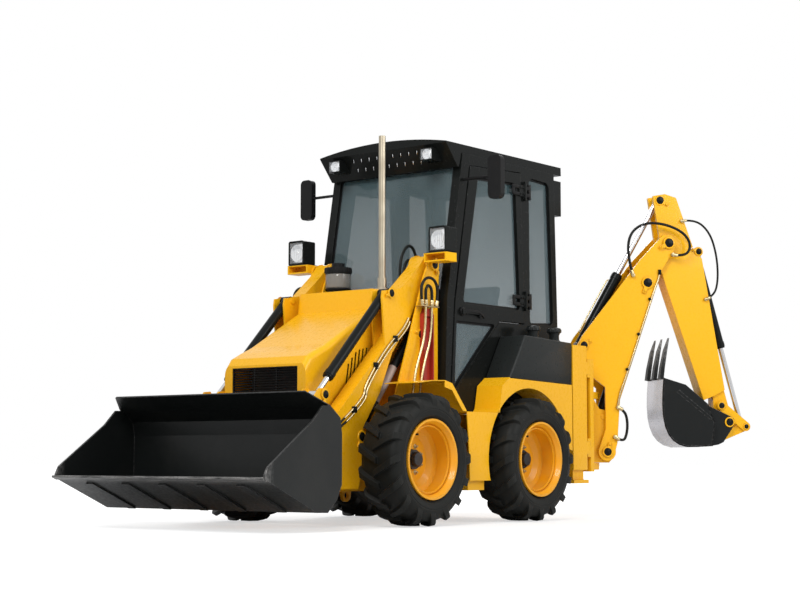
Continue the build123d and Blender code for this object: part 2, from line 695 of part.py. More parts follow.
# Rear frame: two slide rails between the stabilisers' housings
rails = ((400.0, 480.0), (900.0, 980.0))
post_in_x = body_half - 100
post_y0 = frame_rear + 10
rear = Part()
for z0, z1 in rails:
    rear += box(-body_half, body_half, rail_y, rail_y + rail_depth, z0, z1)
leg_gap = 5.0
post_top = 1080.0
post = box(post_in_x, body_half, post_y0, rail_y, 300, post_top)
post -= box(post_in_x + 14, body_half - 14, post_y0 + 14, rail_y - 14, 290, post_top - 14)
rear += both(post)
for z0 in (400.0, 560.0):
    rear += both(box(frame_half - 12, post_in_x + 5, frame_rear + seat_gap, rail_y + 5, z0, z0 + 40))
rear += both(box(frame_half - 12, frame_half, frame_rear + seat_gap, rail_y + 5, 400, 600))
save("rear_frame", rear)
leg_x0 = post_in_x + 14 + leg_gap
leg_x1 = body_half - 14 - leg_gap
leg_y0 = post_y0 + 14 + leg_gap
leg_y1 = rail_y - 14 - leg_gap
for name, side in (("left", 1), ("right", -1)):
    leg = box(leg_x0, leg_x1, leg_y0, leg_y1, 236, post_top - 20)
    leg += box(leg_x0 - 34, leg_x1 + 24, leg_y0 - 24, leg_y1 + 24, 218, 240)
    for z0 in (760.0, post_top - 70):
        pad = leg_gap - seat_gap
        leg += box(leg_x0 - pad, leg_x1 + pad, leg_y0 - pad, leg_y1 + pad, z0, z0 + 40)
    save(f"stabiliser_{name}", leg if side > 0 else mirror(leg, about=Plane.YZ))

# Loader arms: a boxed beam between two plates, which open out at the knee and the leg
arm_points = (
    (470, 1478), (440, 1540), (383, 1548), (317, 1476), (160, 1345), (-5, 1318), (-12, 1280), (13, 1010),
    (-375, 635), (-600, 440), (-690, 300), (-690, 230), (-640, 205), (-215, 205), (-150, 470), (-180, 540),
    (-31, 740), (76, 966), (230, 1150), (330, 1330),
)
core_points = (
    (360, 1440), (440, 1540), (383, 1548), (317, 1476), (160, 1345), (105, 1120), (13, 1010), (-375, 635),
    (-560, 480), (-440, 440), (-240, 610), (-95, 770), (20, 960), (150, 1160), (245, 1290),
)
arm = Part()
for x0 in (arm_inner_x, arm_outer_x - arm_plate):
    arm += prism(arm_points, x0, x0 + arm_plate)
    arm += rod_x(arm_pivot, 62, x0, x0 + arm_plate)
arm += prism(core_points, arm_inner_x + 5, arm_outer_x - 5)
arm += rod_x(arm_pivot, 55, arm_inner_x, arm_outer_x)
arm -= rod_x(arm_pivot, arm_pin_radius + pin_fit, 0, 600)
arm -= rod_x(carrier_pivot, loader_pin_radius + pin_fit, 0, 600)
arm += rod_x(tilt_base, loader_pin_radius, arm_inner_x - 4, arm_outer_x + 6)
arms = both(arm) + rod_x(cross_tube, cross_tube_radius, -arm_inner_x - 5, arm_inner_x + 5)
save("loader_arms", arms)

# Carrier: ears astride the arms' ends, joined across behind the bucket
carrier_back = -765.0
ear_points = (
    (carrier_back, 232), (-690, 215), (-600, 222), (-588, 280), (-494, 700), (-520, 752), (-565, 748),
    (-650, 650), (carrier_back, 500),
)
carrier = Part()
ear_rows = (
    (arm_inner_x - side_gap - arm_plate, arm_inner_x - side_gap),
    (arm_outer_x + side_gap, arm_outer_x + side_gap + arm_plate),
)
for x0, x1 in ear_rows:
    carrier += prism(ear_points, x0, x1)
carrier += rod_x(carrier_pivot, loader_pin_radius, ear_rows[0][0] - 6, ear_rows[1][1] + 6)
carrier += rod_x(tilt_eye, 26, ear_rows[0][0] - 6, arm_mid_x - 32 - eye_gap)
carrier += rod_x(tilt_eye, 26, arm_mid_x + 32 + eye_gap, ear_rows[1][1] + 6)
carrier = both(carrier)
carrier += box(-ear_rows[1][1] - 10, ear_rows[1][1] + 10, carrier_back - 12 + seat_gap, carrier_back + 8, 440, 520)
carrier += box(-ear_rows[1][1] - 10, ear_rows[1][1] + 10, carrier_back - 12 + seat_gap, carrier_back + 8, 232, 300)
save("bucket_carrier", carrier)

# Loader bucket: a bent skin with cut side plates, wear strips under it and a chamfered guard
skin_points = (
    (-1351, 270), (-970, 100), (-885, 98), (-816, 160), (-777, 240), (-777, 500),
    (-790, 580), (-867, 640), (-980, 716),
)
side_points = (
    (-1351, 270), (-970, 100), (-885, 98), (-816, 160), (-777, 240), (-777, 500),
    (-790, 580), (-867, 640), (-925, 640), (-1005, 560), (-1330, 330), (-1351, 290),
)
bucket = band(skin_points, bucket_skin, -bucket_half_width, bucket_half_width)
guard_cut = Plane.XZ.offset(900) * make_face(
    Polyline((bucket_half_width - 90, 730), (bucket_half_width + 5, 640), (bucket_half_width + 5, 730), close=True)
)
bucket -= both(extrude(guard_cut, amount=100, both=True))
bucket += both(prism(side_points, bucket_half_width - bucket_side, bucket_half_width))
lip = ((-1372, 272), (-1340, 258), (-1336, 268), (-1366, 282))
bucket += prism(lip, -bucket_half_width, bucket_half_width)
for x in (-560.0, -280.0, 0.0, 280.0, 560.0):
    bucket += prism(((-1290, 243), (-990, 109), (-985, 98), (-1296, 236)), x - 30, x + 30)
save("loader_bucket", bucket)

# Loader rams
lift_barrel, lift_rod = ram(lift_base, lift_eye, arm_mid_x, 27, 17, 675, 602, 30, 32, loader_pin_radius)
tilt_barrel, tilt_rod = ram(tilt_base, tilt_eye, arm_mid_x, 29, 17, 698, 574, 61, 32, loader_pin_radius)
save("lift_barrels", both(lift_barrel))
save("lift_rods", both(lift_rod))
save("tilt_barrels", both(tilt_barrel))
save("tilt_rods", both(tilt_rod))

# Side-shift carriage: a plate that clasps the rails, with two lugs for the kingpost
lug_low = (300.0, 345.0)
lug_high = (755.0, 800.0)
carriage_x0 = kingpost_x - 175
carriage = box(carriage_x0, carriage_x0 + 345, carriage_y, carriage_y + 40, 290, 1000)
for z0, z1 in rails:
    carriage += box(carriage_x0, carriage_x0 + 345, rail_y + 8, carriage_y + 5, z1 + seat_gap, z1 + 18)
    carriage += box(carriage_x0, carriage_x0 + 345, rail_y + 8, carriage_y + 5, z0 - 18, z0 - seat_gap)
for z0, z1 in (lug_low, lug_high):
    lug_points = (
        (kingpost_x - 140, carriage_y + 39), (kingpost_x + 140, carriage_y + 39),
        (kingpost_x + carriage_lug_radius + 6, carriage_y + 88), (kingpost_x + carriage_lug_radius, kingpost_y),
        (kingpost_x - carriage_lug_radius, kingpost_y), (kingpost_x - carriage_lug_radius - 6, carriage_y + 88),
    )
    carriage += extrude(Plane.XY.offset(z0) * outline(lug_points), amount=z1 - z0)
    carriage += rod_z(kingpost_x, kingpost_y, carriage_lug_radius, z0, z1)
carriage -= rod_z(kingpost_x, kingpost_y, kingpost_pin_radius + pin_fit, 280, 820)
save("side_shift_carriage", carriage)

# Kingpost with the forks for the boom's foot and its ram
post_half = 76.0
post_points = (
    (-60, lug_low[1] + eye_gap), (120, lug_low[1] + eye_gap), (150, 380), (160, 430), (140, 600), (125, 680),
    (60, 690), (20, lug_high[0] - eye_gap), (-60, lug_high[0] - eye_gap),
)
kingpost = prism(post_points, -post_half, post_half)
kingpost += rod_z(0, 0, kingpost_pin_radius, lug_low[0] + 1, lug_high[1] - 1)
slot_points = ((45, 600), (45, 800), (300, 800), (300, 300), (185, 300), (128, 470))
kingpost -= prism(slot_points, -42, 42)
kingpost -= rod_x(boom_foot, hoe_pin_radius + pin_fit, -100, 100)
kingpost += rod_x(boom_ram_base, 18, -post_half - 4, post_half + 4)
save_hoe("kingpost", kingpost)

# Boom: two plates with webs between them
boom_points = (
    (60, 372), (142, 372), (170, 470), (190, 748), (489, 1599), (590, 1760), (560, 1830), (500, 1830),
    (339, 1662), (-60, 1160), (-95, 1095), (-60, 1030), (0, 900), (92, 830), (92, 560), (50, 440),
)
boom = Part()
for x0 in (-boom_half_width, boom_half_width - arm_plate):
    boom += prism(boom_points, x0, x0 + arm_plate)
    boom += rod_x(boom_foot, 58, x0, x0 + arm_plate)
web_half = boom_half_width - 5
boom += band(((190, 748), (466, 1533)), 8, -web_half, web_half)
boom += band(((400, 1656), (310, 1617)), 8, -web_half, web_half)
boom += rod_x(boom_foot, hoe_pin_radius, -boom_half_width - 8, boom_half_width + 8)
boom += rod_x(elbow, elbow_pin_radius, -boom_half_width - 10, boom_half_width + 10)
boom += rod_x(dipper_ram_base, 18, -boom_half_width - 6, boom_half_width + 6)
for x0, x1 in ((38, web_half), (-web_half, -38)):
    boom += rod_x(dipper_ram_base, 28, x0, x1)
for x0, x1 in ((32, boom_half_width + 6), (-boom_half_width - 6, -32)):
    boom += rod_x(boom_ram_eye, 28, x0, x1)
save_hoe("boom", boom)

# Dipper: a box tapering down, with ears at its head for the ram and a slot for the bucket ram
dipper_body = ((500, 1830), (590, 1850), (781, 1685), (925, 820), (850, 780), (778, 752), (496, 1599))
dipper_head = ((448, 2093), (530, 2108), (607, 2085), (720, 1760), (600, 1700), (496, 1760))
dipper_end = ((925, 822), (975, 640), (965, 585), (915, 580), (850, 700), (850, 782))
dipper = prism(dipper_body, -dipper_half_width, dipper_half_width)
for x0 in (40, -dipper_half_width):
    dipper += prism(dipper_head, x0, x0 + dipper_half_width - 40)
    dipper += hull_plate(((bucket_ram_base, 32), ((650, 1640), 50)), x0, x0 + dipper_half_width - 40)
dipper += prism(dipper_end, -45, 45) + rod_x(bucket_hinge, 36, -48, 48)
dipper -= prism(((700, 1780), (820, 1780), (1000, 760), (880, 1000), (745, 1640)), -40, 40)
dipper += rod_x(elbow, 44, -86, 86)
dipper -= rod_x(elbow, elbow_pin_radius + pin_fit, -100, 100)
dipper -= rod_x(bucket_hinge, hoe_pin_radius + pin_fit, -100, 100)
dipper += rod_x(bucket_ram_base, 16, -dipper_half_width - 5, dipper_half_width + 5)
dipper += rod_x(lever_pivot, 16, -84, 84)
save_hoe("dipper", dipper)

# Hoses that loop past the elbow and the foot on the boom's outside, and along the dipper
boom_hose_x = boom_half_width + 12
boom_loops = (
    ((285, 1560), (250, 1680), (262, 1830), (360, 1905), (500, 1905), (640, 1850), (690, 1765), (650, 1690), (560, 1700)),
    ((150, 510), (205, 475), (232, 535), (235, 620), (215, 680), (172, 700)),
)
boom_hoses = Part()
for route in boom_loops:
    boom_hoses += side_hose(route, boom_hose_x, hose_radius)
    for end in (route[0], route[-1]):
        boom_hoses += rod_x(end, hose_radius + 4, boom_half_width + seat_gap, boom_hose_x + hose_radius + 3)
save_hoe("boom_hoses", boom_hoses)
dipper_hose_x = dipper_half_width + 12
dipper_route = ((640, 1930), (735, 1945), (835, 1860), (880, 1710), (888, 1550), (860, 1440), (798, 1415))
dipper_hoses = side_hose(dipper_route, dipper_hose_x, 7)
for end in (dipper_route[0], dipper_route[-1]):
    dipper_hoses += rod_x(end, 11, dipper_half_width + seat_gap, dipper_hose_x + 8)
save_hoe("dipper_hoses", dipper_hoses)

# Hoe bucket: bent skin, side plates, ears and three teeth
hoe_side = (
    (471, 893), (440, 620), (540, 466), (622, 446), (800, 452), (820, 600), (771, 726), (622, 849),
)
hoe_skin = ((471, 893), (440, 620), (540, 466), (622, 446), (800, 452), (820, 600), (771, 726))
hoe_bucket = band(hoe_skin, 8, -hoe_bucket_half_width, hoe_bucket_half_width)
for x0 in (-hoe_bucket_half_width, hoe_bucket_half_width - 10):
    hoe_bucket += prism(hoe_side, x0, x0 + 10)
hoe_ear = ((771, 726), (940, 650), (972, 630), (972, 590), (895, 478), (860, 462), (800, 452))
for x0 in (-99, 84):
    hoe_bucket += prism(hoe_ear, x0, x0 + 15)
hoe_bucket += rod_x(bucket_hinge, hoe_pin_radius, -104, 104)
tooth = ((471, 893), (448, 876), (462, 960), (512, 1154), (520, 1150), (497, 960), (492, 890))
for x in (-125.0, 0.0, 125.0):
    hoe_bucket += prism(tooth, x - 22, x + 22)
save_hoe("hoe_bucket", hoe_bucket)

# Bucket lever and link
lever = Part()
link = Part()
for x0 in (-78, 68):
    lever += hull_plate(((lever_pivot, 30), (lever_pin, 30)), x0, x0 + 10)
for x0 in (-60, 50):
    link += hull_plate(((lever_pin, 28), (link_pin, 28)), x0, x0 + 10)
lever -= rod_x(lever_pivot, 16 + pin_fit, -100, 100)
lever += both(rod_x(lever_pin, 15, 49, 82))
link -= rod_x(lever_pin, 15 + pin_fit, -100, 100)
for x0 in (-83, 60):
    link += rod_x(link_pin, 22, x0, x0 + 23)
save_hoe("bucket_lever", lever)
save_hoe("bucket_link", link)

HoeRam = namedtuple("HoeRam", "name base eye barrel rod end push pull half pin")
hoe_rams = (
    HoeRam("boom", boom_ram_base, boom_ram_eye, 34, 19, 560, 380, 4, 30, 18),
    HoeRam("dipper", dipper_ram_base, dipper_ram_eye, 34, 19, 545, 4, 464, 37, 18),
    HoeRam("hoe_bucket", bucket_ram_base, lever_pin, 30, 17, 655, 4, 347, 38, 16),
)
for item in hoe_rams:
    barrel, rod = ram(
        item.base, item.eye, 0, item.barrel, item.rod, item.end, item.push, item.pull, item.half, item.pin
    )
    save_hoe(f"{item.name}_barrel", barrel)
    save_hoe(f"{item.name}_rod", rod)
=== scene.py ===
import math
import bmesh
import bpy
from mathutils import Matrix, Vector


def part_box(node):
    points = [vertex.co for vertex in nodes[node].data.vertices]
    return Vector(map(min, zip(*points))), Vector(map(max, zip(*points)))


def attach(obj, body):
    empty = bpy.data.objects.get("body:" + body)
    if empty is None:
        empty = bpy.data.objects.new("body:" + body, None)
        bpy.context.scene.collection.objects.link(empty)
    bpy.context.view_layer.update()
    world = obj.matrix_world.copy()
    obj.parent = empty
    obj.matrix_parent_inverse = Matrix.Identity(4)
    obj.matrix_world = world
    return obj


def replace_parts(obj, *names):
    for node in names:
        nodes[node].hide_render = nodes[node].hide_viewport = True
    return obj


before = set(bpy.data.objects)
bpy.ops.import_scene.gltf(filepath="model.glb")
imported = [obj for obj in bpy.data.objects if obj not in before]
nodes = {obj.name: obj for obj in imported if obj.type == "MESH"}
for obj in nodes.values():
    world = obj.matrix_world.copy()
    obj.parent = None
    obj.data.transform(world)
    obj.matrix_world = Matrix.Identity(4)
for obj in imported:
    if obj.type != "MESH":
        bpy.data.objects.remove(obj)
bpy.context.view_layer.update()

scene = bpy.context.scene

# The machine's own axes, in metres: x to its left, y back from the front axle, z up from the ground
machine = {"shiftX": -0.25, "shiftY": -0.754, "wheelbase": 1.06, "axleHeight": 0.3675, "tyreMidX": 0.648,
           "towerOuter": 0.452, "armInner": 0.33, "armOuter": 0.42, "cabHalf": 0.5, "bodyHalf": 0.69,
           "kingpostX": 0.52, "kingpostY": 1.97, "slew": math.radians(40), "boomHalf": 0.1}


def at(x, y, z):
    return Vector((x + machine["shiftX"], y + machine["shiftY"], z))


def hoeAt(u, z, x=0.0):
    # u runs back from the kingpost's axis, x across the boom
    c, s = math.cos(machine["slew"]), math.sin(machine["slew"])
    return at(machine["kingpostX"] + u * s + x * c, machine["kingpostY"] + u * c - x * s, z)


hoeAcross = Vector((math.cos(machine["slew"]), -math.sin(machine["slew"]), 0))
acrossMachine = Vector((1, 0, 0))
print("frame loaded")


# Shader sockets that can be added, multiplied and subtracted
class Socket:
    def __init__(self, finish, link):
        self.finish = finish
        self.link = link

    def maths(self, operation, first, second):
        return self.finish.node("ShaderNodeMath", {"operation": operation}, {0: first, 1: second})

    def __add__(self, other):
        return self.maths("ADD", self, other)

    def __mul__(self, other):
        return self.maths("MULTIPLY", self, other)

    def __sub__(self, other):
        return self.maths("SUBTRACT", self, other)

    def __rsub__(self, other):
        return self.maths("SUBTRACT", other, self)

    __radd__ = __add__
    __rmul__ = __mul__


class Finish:
    def __init__(self, name):
        self.material = bpy.data.materials.new(name)
        self.material.use_nodes = True
        self.tree = self.material.node_tree
        self.tree.nodes.clear()
        self.output = self.tree.nodes.new("ShaderNodeOutputMaterial")
        self.shader = self.tree.nodes.new("ShaderNodeBsdfPrincipled")
        self.tree.links.new(self.shader.outputs[0], self.output.inputs[0])

    def plug(self, node, inputs):
        for key, value in inputs.items():
            if isinstance(value, Socket):
                self.tree.links.new(value.link, node.inputs[key])
            else:
                node.inputs[key].default_value = value

    def node(self, kind, settings, inputs, output=0):
        made = self.tree.nodes.new(kind)
        for key, value in settings.items():
            setattr(made, key, value)
        self.plug(made, inputs)
        return Socket(self, made.outputs[output])

    def place(self):
        return self.node("ShaderNodeTexCoord", {}, {}, "Object")

    def part(self, vector, axis):
        return self.node("ShaderNodeSeparateXYZ", {}, {0: vector}, axis)

    def stretch(self, vector, scale):
        return self.node("ShaderNodeMapping", {}, {"Vector": vector, "Scale": scale})

    def noise(self, vector, scale, detail=3.0, rough=0.55):
        return self.node("ShaderNodeTexNoise", {}, {"Vector": vector, "Scale": scale, "Detail": detail,
                                                     "Roughness": rough}, "Fac")

    def clamp(self, value, low, high, outLow=0.0, outHigh=1.0):
        return self.node("ShaderNodeMapRange", {"clamp": True},
                         {"Value": value, "From Min": low, "From Max": high, "To Min": outLow,
                          "To Max": outHigh})

    def mix(self, factor, first, second):
        return self.node("ShaderNodeMix", {"data_type": "RGBA"}, {0: factor, 6: first, 7: second}, 2)

    def rounded(self, radius):
        return self.node("ShaderNodeBevel", {"samples": 4}, {"Radius": radius})

    def edges(self, radius, gain=6.0):
        # bright where the rounded normal turns away from the face's own
        own = self.node("ShaderNodeNewGeometry", {}, {}, "Normal")
        turn = self.node("ShaderNodeVectorMath", {"operation": "DOT_PRODUCT"},
                         {0: self.rounded(radius), 1: own},
                         "Value")
        return self.clamp((1 - turn) * gain, 0.0, 1.0)

    def facing(self, axis="Z"):
        own = self.node("ShaderNodeNewGeometry", {}, {}, "Normal")
        return self.part(own, axis)

    def bump(self, height, strength, distance, normal=None):
        inputs = {"Strength": strength, "Distance": distance, "Height": height}
        if normal:
            inputs["Normal"] = normal
        return self.node("ShaderNodeBump", {}, inputs)

    def wear(self, **sockets):
        self.plug(self.shader, sockets and {key.replace("_", " "): value for key, value in sockets.items()})
        return self.material


def colour(red, green, blue):
    return (red, green, blue, 1)


# Sprayed enamel: orange peel, dust low down and on top, bare metal where edges rub
def enamel(name, look):
    finish = Finish(name)
    place = finish.place()
    broad = finish.noise(place, 2.1, 3)
    fine = finish.noise(place, 46, 4)
    rub = finish.edges(look["edge"]) * finish.clamp(fine, 0.5, 0.62)
    low = finish.clamp(finish.part(place, "Z"), 0.62, 0.02)
    dust = low * finish.clamp(finish.noise(place, 9, 5), 0.42, 0.75) * look["dust"]
    top = finish.clamp(finish.facing(), 0.5, 1.0) * finish.clamp(broad, 0.35, 0.8) * look["top"]
    tint = finish.mix(broad, look["colour"], look["shade"])
    for start, along, low, high, other in look["bands"]:
        # another colour between two distances from start
        run = finish.node("ShaderNodeVectorMath", {"operation": "SUBTRACT"}, {0: place, 1: tuple(start)})
        run = finish.node("ShaderNodeVectorMath", {"operation": "DOT_PRODUCT"}, {0: run, 1: tuple(along)},
                          "Value")
        tint = finish.mix(finish.clamp(run, low, low + 0.001) * finish.clamp(run, high, high - 0.001), tint,
                          other)
    tint = finish.mix(dust + top, tint, look["dustColour"])
    tint = finish.mix(rub * look["rub"], tint, look["bare"])
    rough = finish.clamp(fine, 0.3, 0.75, look["rough"], look["rough"] + 0.1) + dust * 0.5 + top * 0.3
    peel = finish.bump(finish.noise(place, 230, 2), 0.05, 0.001, finish.rounded(look["edge"]))
    finish.plug(finish.shader, {"Metallic": rub * 0.4, "Coat Weight": (1 - dust) * look["coat"]})
    finish.shader.inputs["Coat Roughness"].default_value = 0.06
    finish.shader.inputs["Specular IOR Level"].default_value = look["shine"]
    return finish.wear(Base_Color=tint, Roughness=rough, Normal=peel)


enamelLook = {"colour": colour(0.87, 0.45, 0.008), "shade": colour(0.83, 0.41, 0.006),
              "bare": colour(0.4, 0.2, 0.06),
              "dustColour": colour(0.5, 0.33, 0.14), "dust": 0.2, "top": 0.02, "rub": 0.4, "edge": 0.004,
              "rough": 0.24, "coat": 0.1, "shine": 0.2, "bands": ()}
yellow = enamel("yellowEnamel", enamelLook)
rimYellow = enamel("rimEnamel", {**enamelLook, "colour": colour(0.82, 0.37, 0.008),
                                 "shade": colour(0.76, 0.32, 0.007),
                                 "dust": 0.35, "rough": 0.32, "coat": 0.2})
blackLook = {**enamelLook, "colour": colour(0.006, 0.007, 0.0065), "shade": colour(0.01, 0.011, 0.0105),
             "bare": colour(0.08, 0.08, 0.08), "dustColour": colour(0.06, 0.057, 0.05), "dust": 0.15,
             "top": 0.01,
             "rough": 0.2, "coat": 0.04, "shine": 0.07}
black = enamel("blackEnamel", blackLook)
darkGrey = enamel("panelEnamel", {**blackLook, "colour": colour(0.012, 0.014, 0.0135),
                                  "shade": colour(0.018, 0.02, 0.0195),
                                  "rough": 0.26, "coat": 0.05, "shine": 0.12})
lampShell = enamel("lampShell", {**blackLook,
                                 "bands": ((at(0, 0, 0), (0, 0, 1), 1.5, 1.5585, enamelLook["colour"]),)})
liftSlope = Vector((0, -0.637, -0.7708))
liftBarrel = enamel("liftBarrel", {**blackLook, "bands": ((at(0, 0.3, 1.085), liftSlope, 0.254, 0.515,
                                                          colour(0.42, 0.33, 0.29)),)})
red = enamel("redEnamel", {**enamelLook, "colour": colour(0.42, 0.035, 0.02),
                           "shade": colour(0.33, 0.025, 0.016),
                           "bare": colour(0.25, 0.1, 0.08), "rough": 0.34, "coat": 0.3})


# Bucket paint: satin black, scuffed to steel along the lip and dusty inside
def bucketPaint(name, look):
    finish = Finish(name)
    place = finish.place()
    scuff = finish.noise(finish.stretch(place, (1.0, 14.0, 6.0)), 7, 6, 0.65)
    fine = finish.noise(place, 60, 5, 0.6)
    rub = finish.edges(0.006, 8) * finish.clamp(fine, 0.4, 0.6)
    lip = finish.clamp(finish.part(place, look["lipAxis"]), look["lipEnd"], look["lipStart"])
    worn = finish.clamp(lip * finish.clamp(scuff, 0.35, 0.7) + rub * look["rub"], 0.0, 1.0)
    dust = finish.clamp(finish.noise(place, 3.2, 6), 0.5, 0.85) * look["dust"]
    tint = finish.mix(dust, look["colour"], look["dustColour"])
    tint = finish.mix(worn, tint, look["steel"])
    rough = finish.clamp(fine, 0.3, 0.8, look["rough"], look["rough"] + 0.2) - worn * 0.1
    bump = finish.bump(fine * 0.5 + scuff, 0.12, 0.002, finish.rounded(0.004))
    finish.plug(finish.shader, {"Metallic": worn * 0.9})
    finish.shader.inputs["Specular IOR Level"].default_value = look["shine"]
    return finish.wear(Base_Color=tint, Roughness=rough, Normal=bump)


bucketLook = {"colour": colour(0.006, 0.007, 0.0068), "dustColour": colour(0.035, 0.034, 0.03),
              "steel": colour(0.3, 0.29, 0.28),
              "rough": 0.28, "dust": 0.25, "rub": 0.25, "shine": 0.25, "lipAxis": "Y", "lipStart": -2.13,
              "lipEnd": -2.04}
bucketBlack = bucketPaint("bucketPaint", bucketLook)
hoeBucketBlack = bucketPaint("diggingBucketPaint",
                             {**bucketLook, "lipAxis": "Z", "lipStart": 1.2, "lipEnd": 0.95,
                                                    "colour": colour(0.009, 0.01, 0.01), "rub": 0.4,
                                                    "shine": 0.12})


# Plain metals
def metal(name, look):
    finish = Finish(name)
    place = finish.place()
    fine = finish.noise(finish.stretch(place, look["grain"]), look["scale"], 5, 0.6)
    broad = finish.noise(place, 5, 3)
    stain = finish.clamp(broad, 0.45, 0.7) * look["stain"]
    tint = finish.mix(stain, look["colour"], look["stainColour"])
    rough = finish.clamp(fine, 0.3, 0.7, look["rough"], look["rough"] + look["spread"])
    bump = finish.bump(fine, look["bump"], 0.001, finish.rounded(0.0025))
    finish.plug(finish.shader, {"Metallic": 1 - stain * 0.6})
    return finish.wear(Base_Color=tint, Roughness=rough, Normal=bump)


metalLook = {"colour": colour(0.62, 0.62, 0.63), "stainColour": colour(0.3, 0.27, 0.22), "grain": (1, 1, 1),
             "scale": 60, "stain": 0.2, "rough": 0.08, "spread": 0.1, "bump": 0.04}
chrome = metal("polishedRod", metalLook)
zinc = metal("zincPlate", {**metalLook, "colour": colour(0.5, 0.4, 0.22),
                           "stainColour": colour(0.3, 0.26, 0.17),
                           "rough": 0.22, "spread": 0.15})
exhaustSteel = metal("exhaustSteel", {**metalLook, "colour": colour(0.42, 0.37, 0.28),
                                      "stainColour": colour(0.2, 0.15, 0.1),
                                      "rough": 0.3, "spread": 0.15, "stain": 0.5, "grain": (1, 1, 0.1)})
rubbedSteel = metal("rubbedSteel", {**metalLook, "colour": colour(0.55, 0.53, 0.55),
                                    "stainColour": colour(0.3, 0.29, 0.29),
                                    "rough": 0.2, "spread": 0.12, "bump": 0.08, "stain": 0.5,
                                    "grain": (1, 1, 6)})
castIron = metal("castIron", {**metalLook, "colour": colour(0.05, 0.05, 0.052),
                              "stainColour": colour(0.1, 0.08, 0.06),
                              "rough": 0.5, "spread": 0.25, "bump": 0.5, "stain": 0.9})


# Rubber with its own fine moulding and patches of dust
def rubberFinish(name, look):
    finish = Finish(name)
    place = finish.place()
    fine = finish.noise(place, 140, 4)
    dust = finish.clamp(finish.noise(place, 8, 5), 0.4, 0.75) * look["dust"]
    rub = finish.edges(0.006, 5) * look["rub"]
    tint = finish.mix(dust, look["colour"], look["dustColour"])
    tint = finish.mix(rub, tint, look["rubbed"])
    rough = finish.clamp(fine, 0.3, 0.7, look["rough"], look["rough"] + 0.12) + dust * 0.1
    bump = finish.bump(fine, 0.2, 0.0008, finish.rounded(look["round"]))
    finish.shader.inputs["Specular IOR Level"].default_value = 0.14
    return finish.wear(Base_Color=tint, Roughness=rough, Normal=bump)


rubberLook = {"colour": colour(0.007, 0.0075, 0.0065), "dustColour": colour(0.02, 0.0195, 0.017),
              "rubbed": colour(0.014, 0.014, 0.013),
              "dust": 0.4, "rub": 0.5, "rough": 0.46, "round": 0.005}
tyreRubber = rubberFinish("tyreRubber", rubberLook)
hoseRubber = rubberFinish("hoseRubber", {**rubberLook, "dust": 0.2, "rough": 0.36, "round": 0.001})
plastic = rubberFinish("mouldedPlastic", {**rubberLook, "colour": colour(0.006, 0.006, 0.0065), "dust": 0.2,
                                          "rough": 0.36,
                                          "round": 0.003})


# Tinted glass, lenses and reflectors
def glassFinish(name, look):
    finish = Finish(name)
    place = finish.place()
    smear = finish.clamp(finish.noise(finish.stretch(place, (1, 1, 0.4)), 3.5, 5, 0.6), 0.45, 0.8)
    finish.shader.inputs["IOR"].default_value = 1.45
    rough = smear * look["smear"] + look["rough"]
    # painted reflection and painted shade: the glass is painted lighter towards the bottom, and darker and
    # more opaque towards the top
    high = finish.clamp(finish.part(place, "Z"), 0.8, 2.1)
    alpha = smear * 0.02 + high * look["topShadeAlpha"] + look["alpha"]
    tint = finish.mix(smear * 0.3, finish.mix(high, look["hazeAndLowReflection"], look["colour"]), look["hazeAndLowReflection"])
    return finish.wear(Base_Color=tint, Roughness=rough, Alpha=alpha)


glassLook = {"colour": colour(0.06, 0.1, 0.108), "hazeAndLowReflection": colour(0.2, 0.26, 0.28), "rough": 0.015,
             "smear": 0.02, "alpha": 0.36,
             "topShadeAlpha": 0.16}
cabGlassFinish = glassFinish("tintedGlass", glassLook)
lensFinish = glassFinish("lampLens", {**glassLook, "colour": colour(0.8, 0.82, 0.84),
                                      "hazeAndLowReflection": colour(0.7, 0.7, 0.7), "alpha": 0.12,
                                      "topShadeAlpha": 0.0})
amberFinish = glassFinish("amberLens", {**glassLook, "colour": colour(0.8, 0.22, 0.01),
                                        "hazeAndLowReflection": colour(0.6, 0.2, 0.02), "alpha": 0.9})
bowlFinish = glassFinish("clearBowl", {**glassLook, "colour": colour(0.25, 0.24, 0.22),
                                       "hazeAndLowReflection": colour(0.4, 0.38, 0.35)})
redLens = glassFinish("redLens", {**glassLook, "colour": colour(0.5, 0.02, 0.01),
                                  "hazeAndLowReflection": colour(0.4, 0.03, 0.02), "alpha": 0.92})
reflector = metal("lampReflector", {**metalLook, "colour": colour(0.85, 0.86, 0.87), "stain": 0.02,
                                    "rough": 0.12})
mirrorGlass = metal("mirrorGlass", {**metalLook, "colour": colour(0.75, 0.78, 0.8), "stain": 0.02,
                                    "rough": 0.02, "spread": 0.02})


# Seat cover with a woven middle
def coverFinish(name, look):
    finish = Finish(name)
    place = finish.place()
    weave = finish.node("ShaderNodeTexWave", {"bands_direction": "DIAGONAL"},
                        {"Vector": place, "Scale": 150, "Distortion": 0.6, "Detail": 1}, "Fac")
    fine = finish.noise(place, 300, 3)
    tint = finish.mix(weave * 0.6 + fine * 0.3, look["colour"], look["thread"])
    return finish.wear(Base_Color=tint, Roughness=finish.clamp(fine, 0.2, 0.8, 0.6, 0.85),
                       Normal=finish.bump(weave + fine, 0.3, 0.0008))


seatCover = coverFinish("seatCover", {"colour": colour(0.018, 0.018, 0.02),
                                      "thread": colour(0.045, 0.045, 0.05)})
print("materials made")

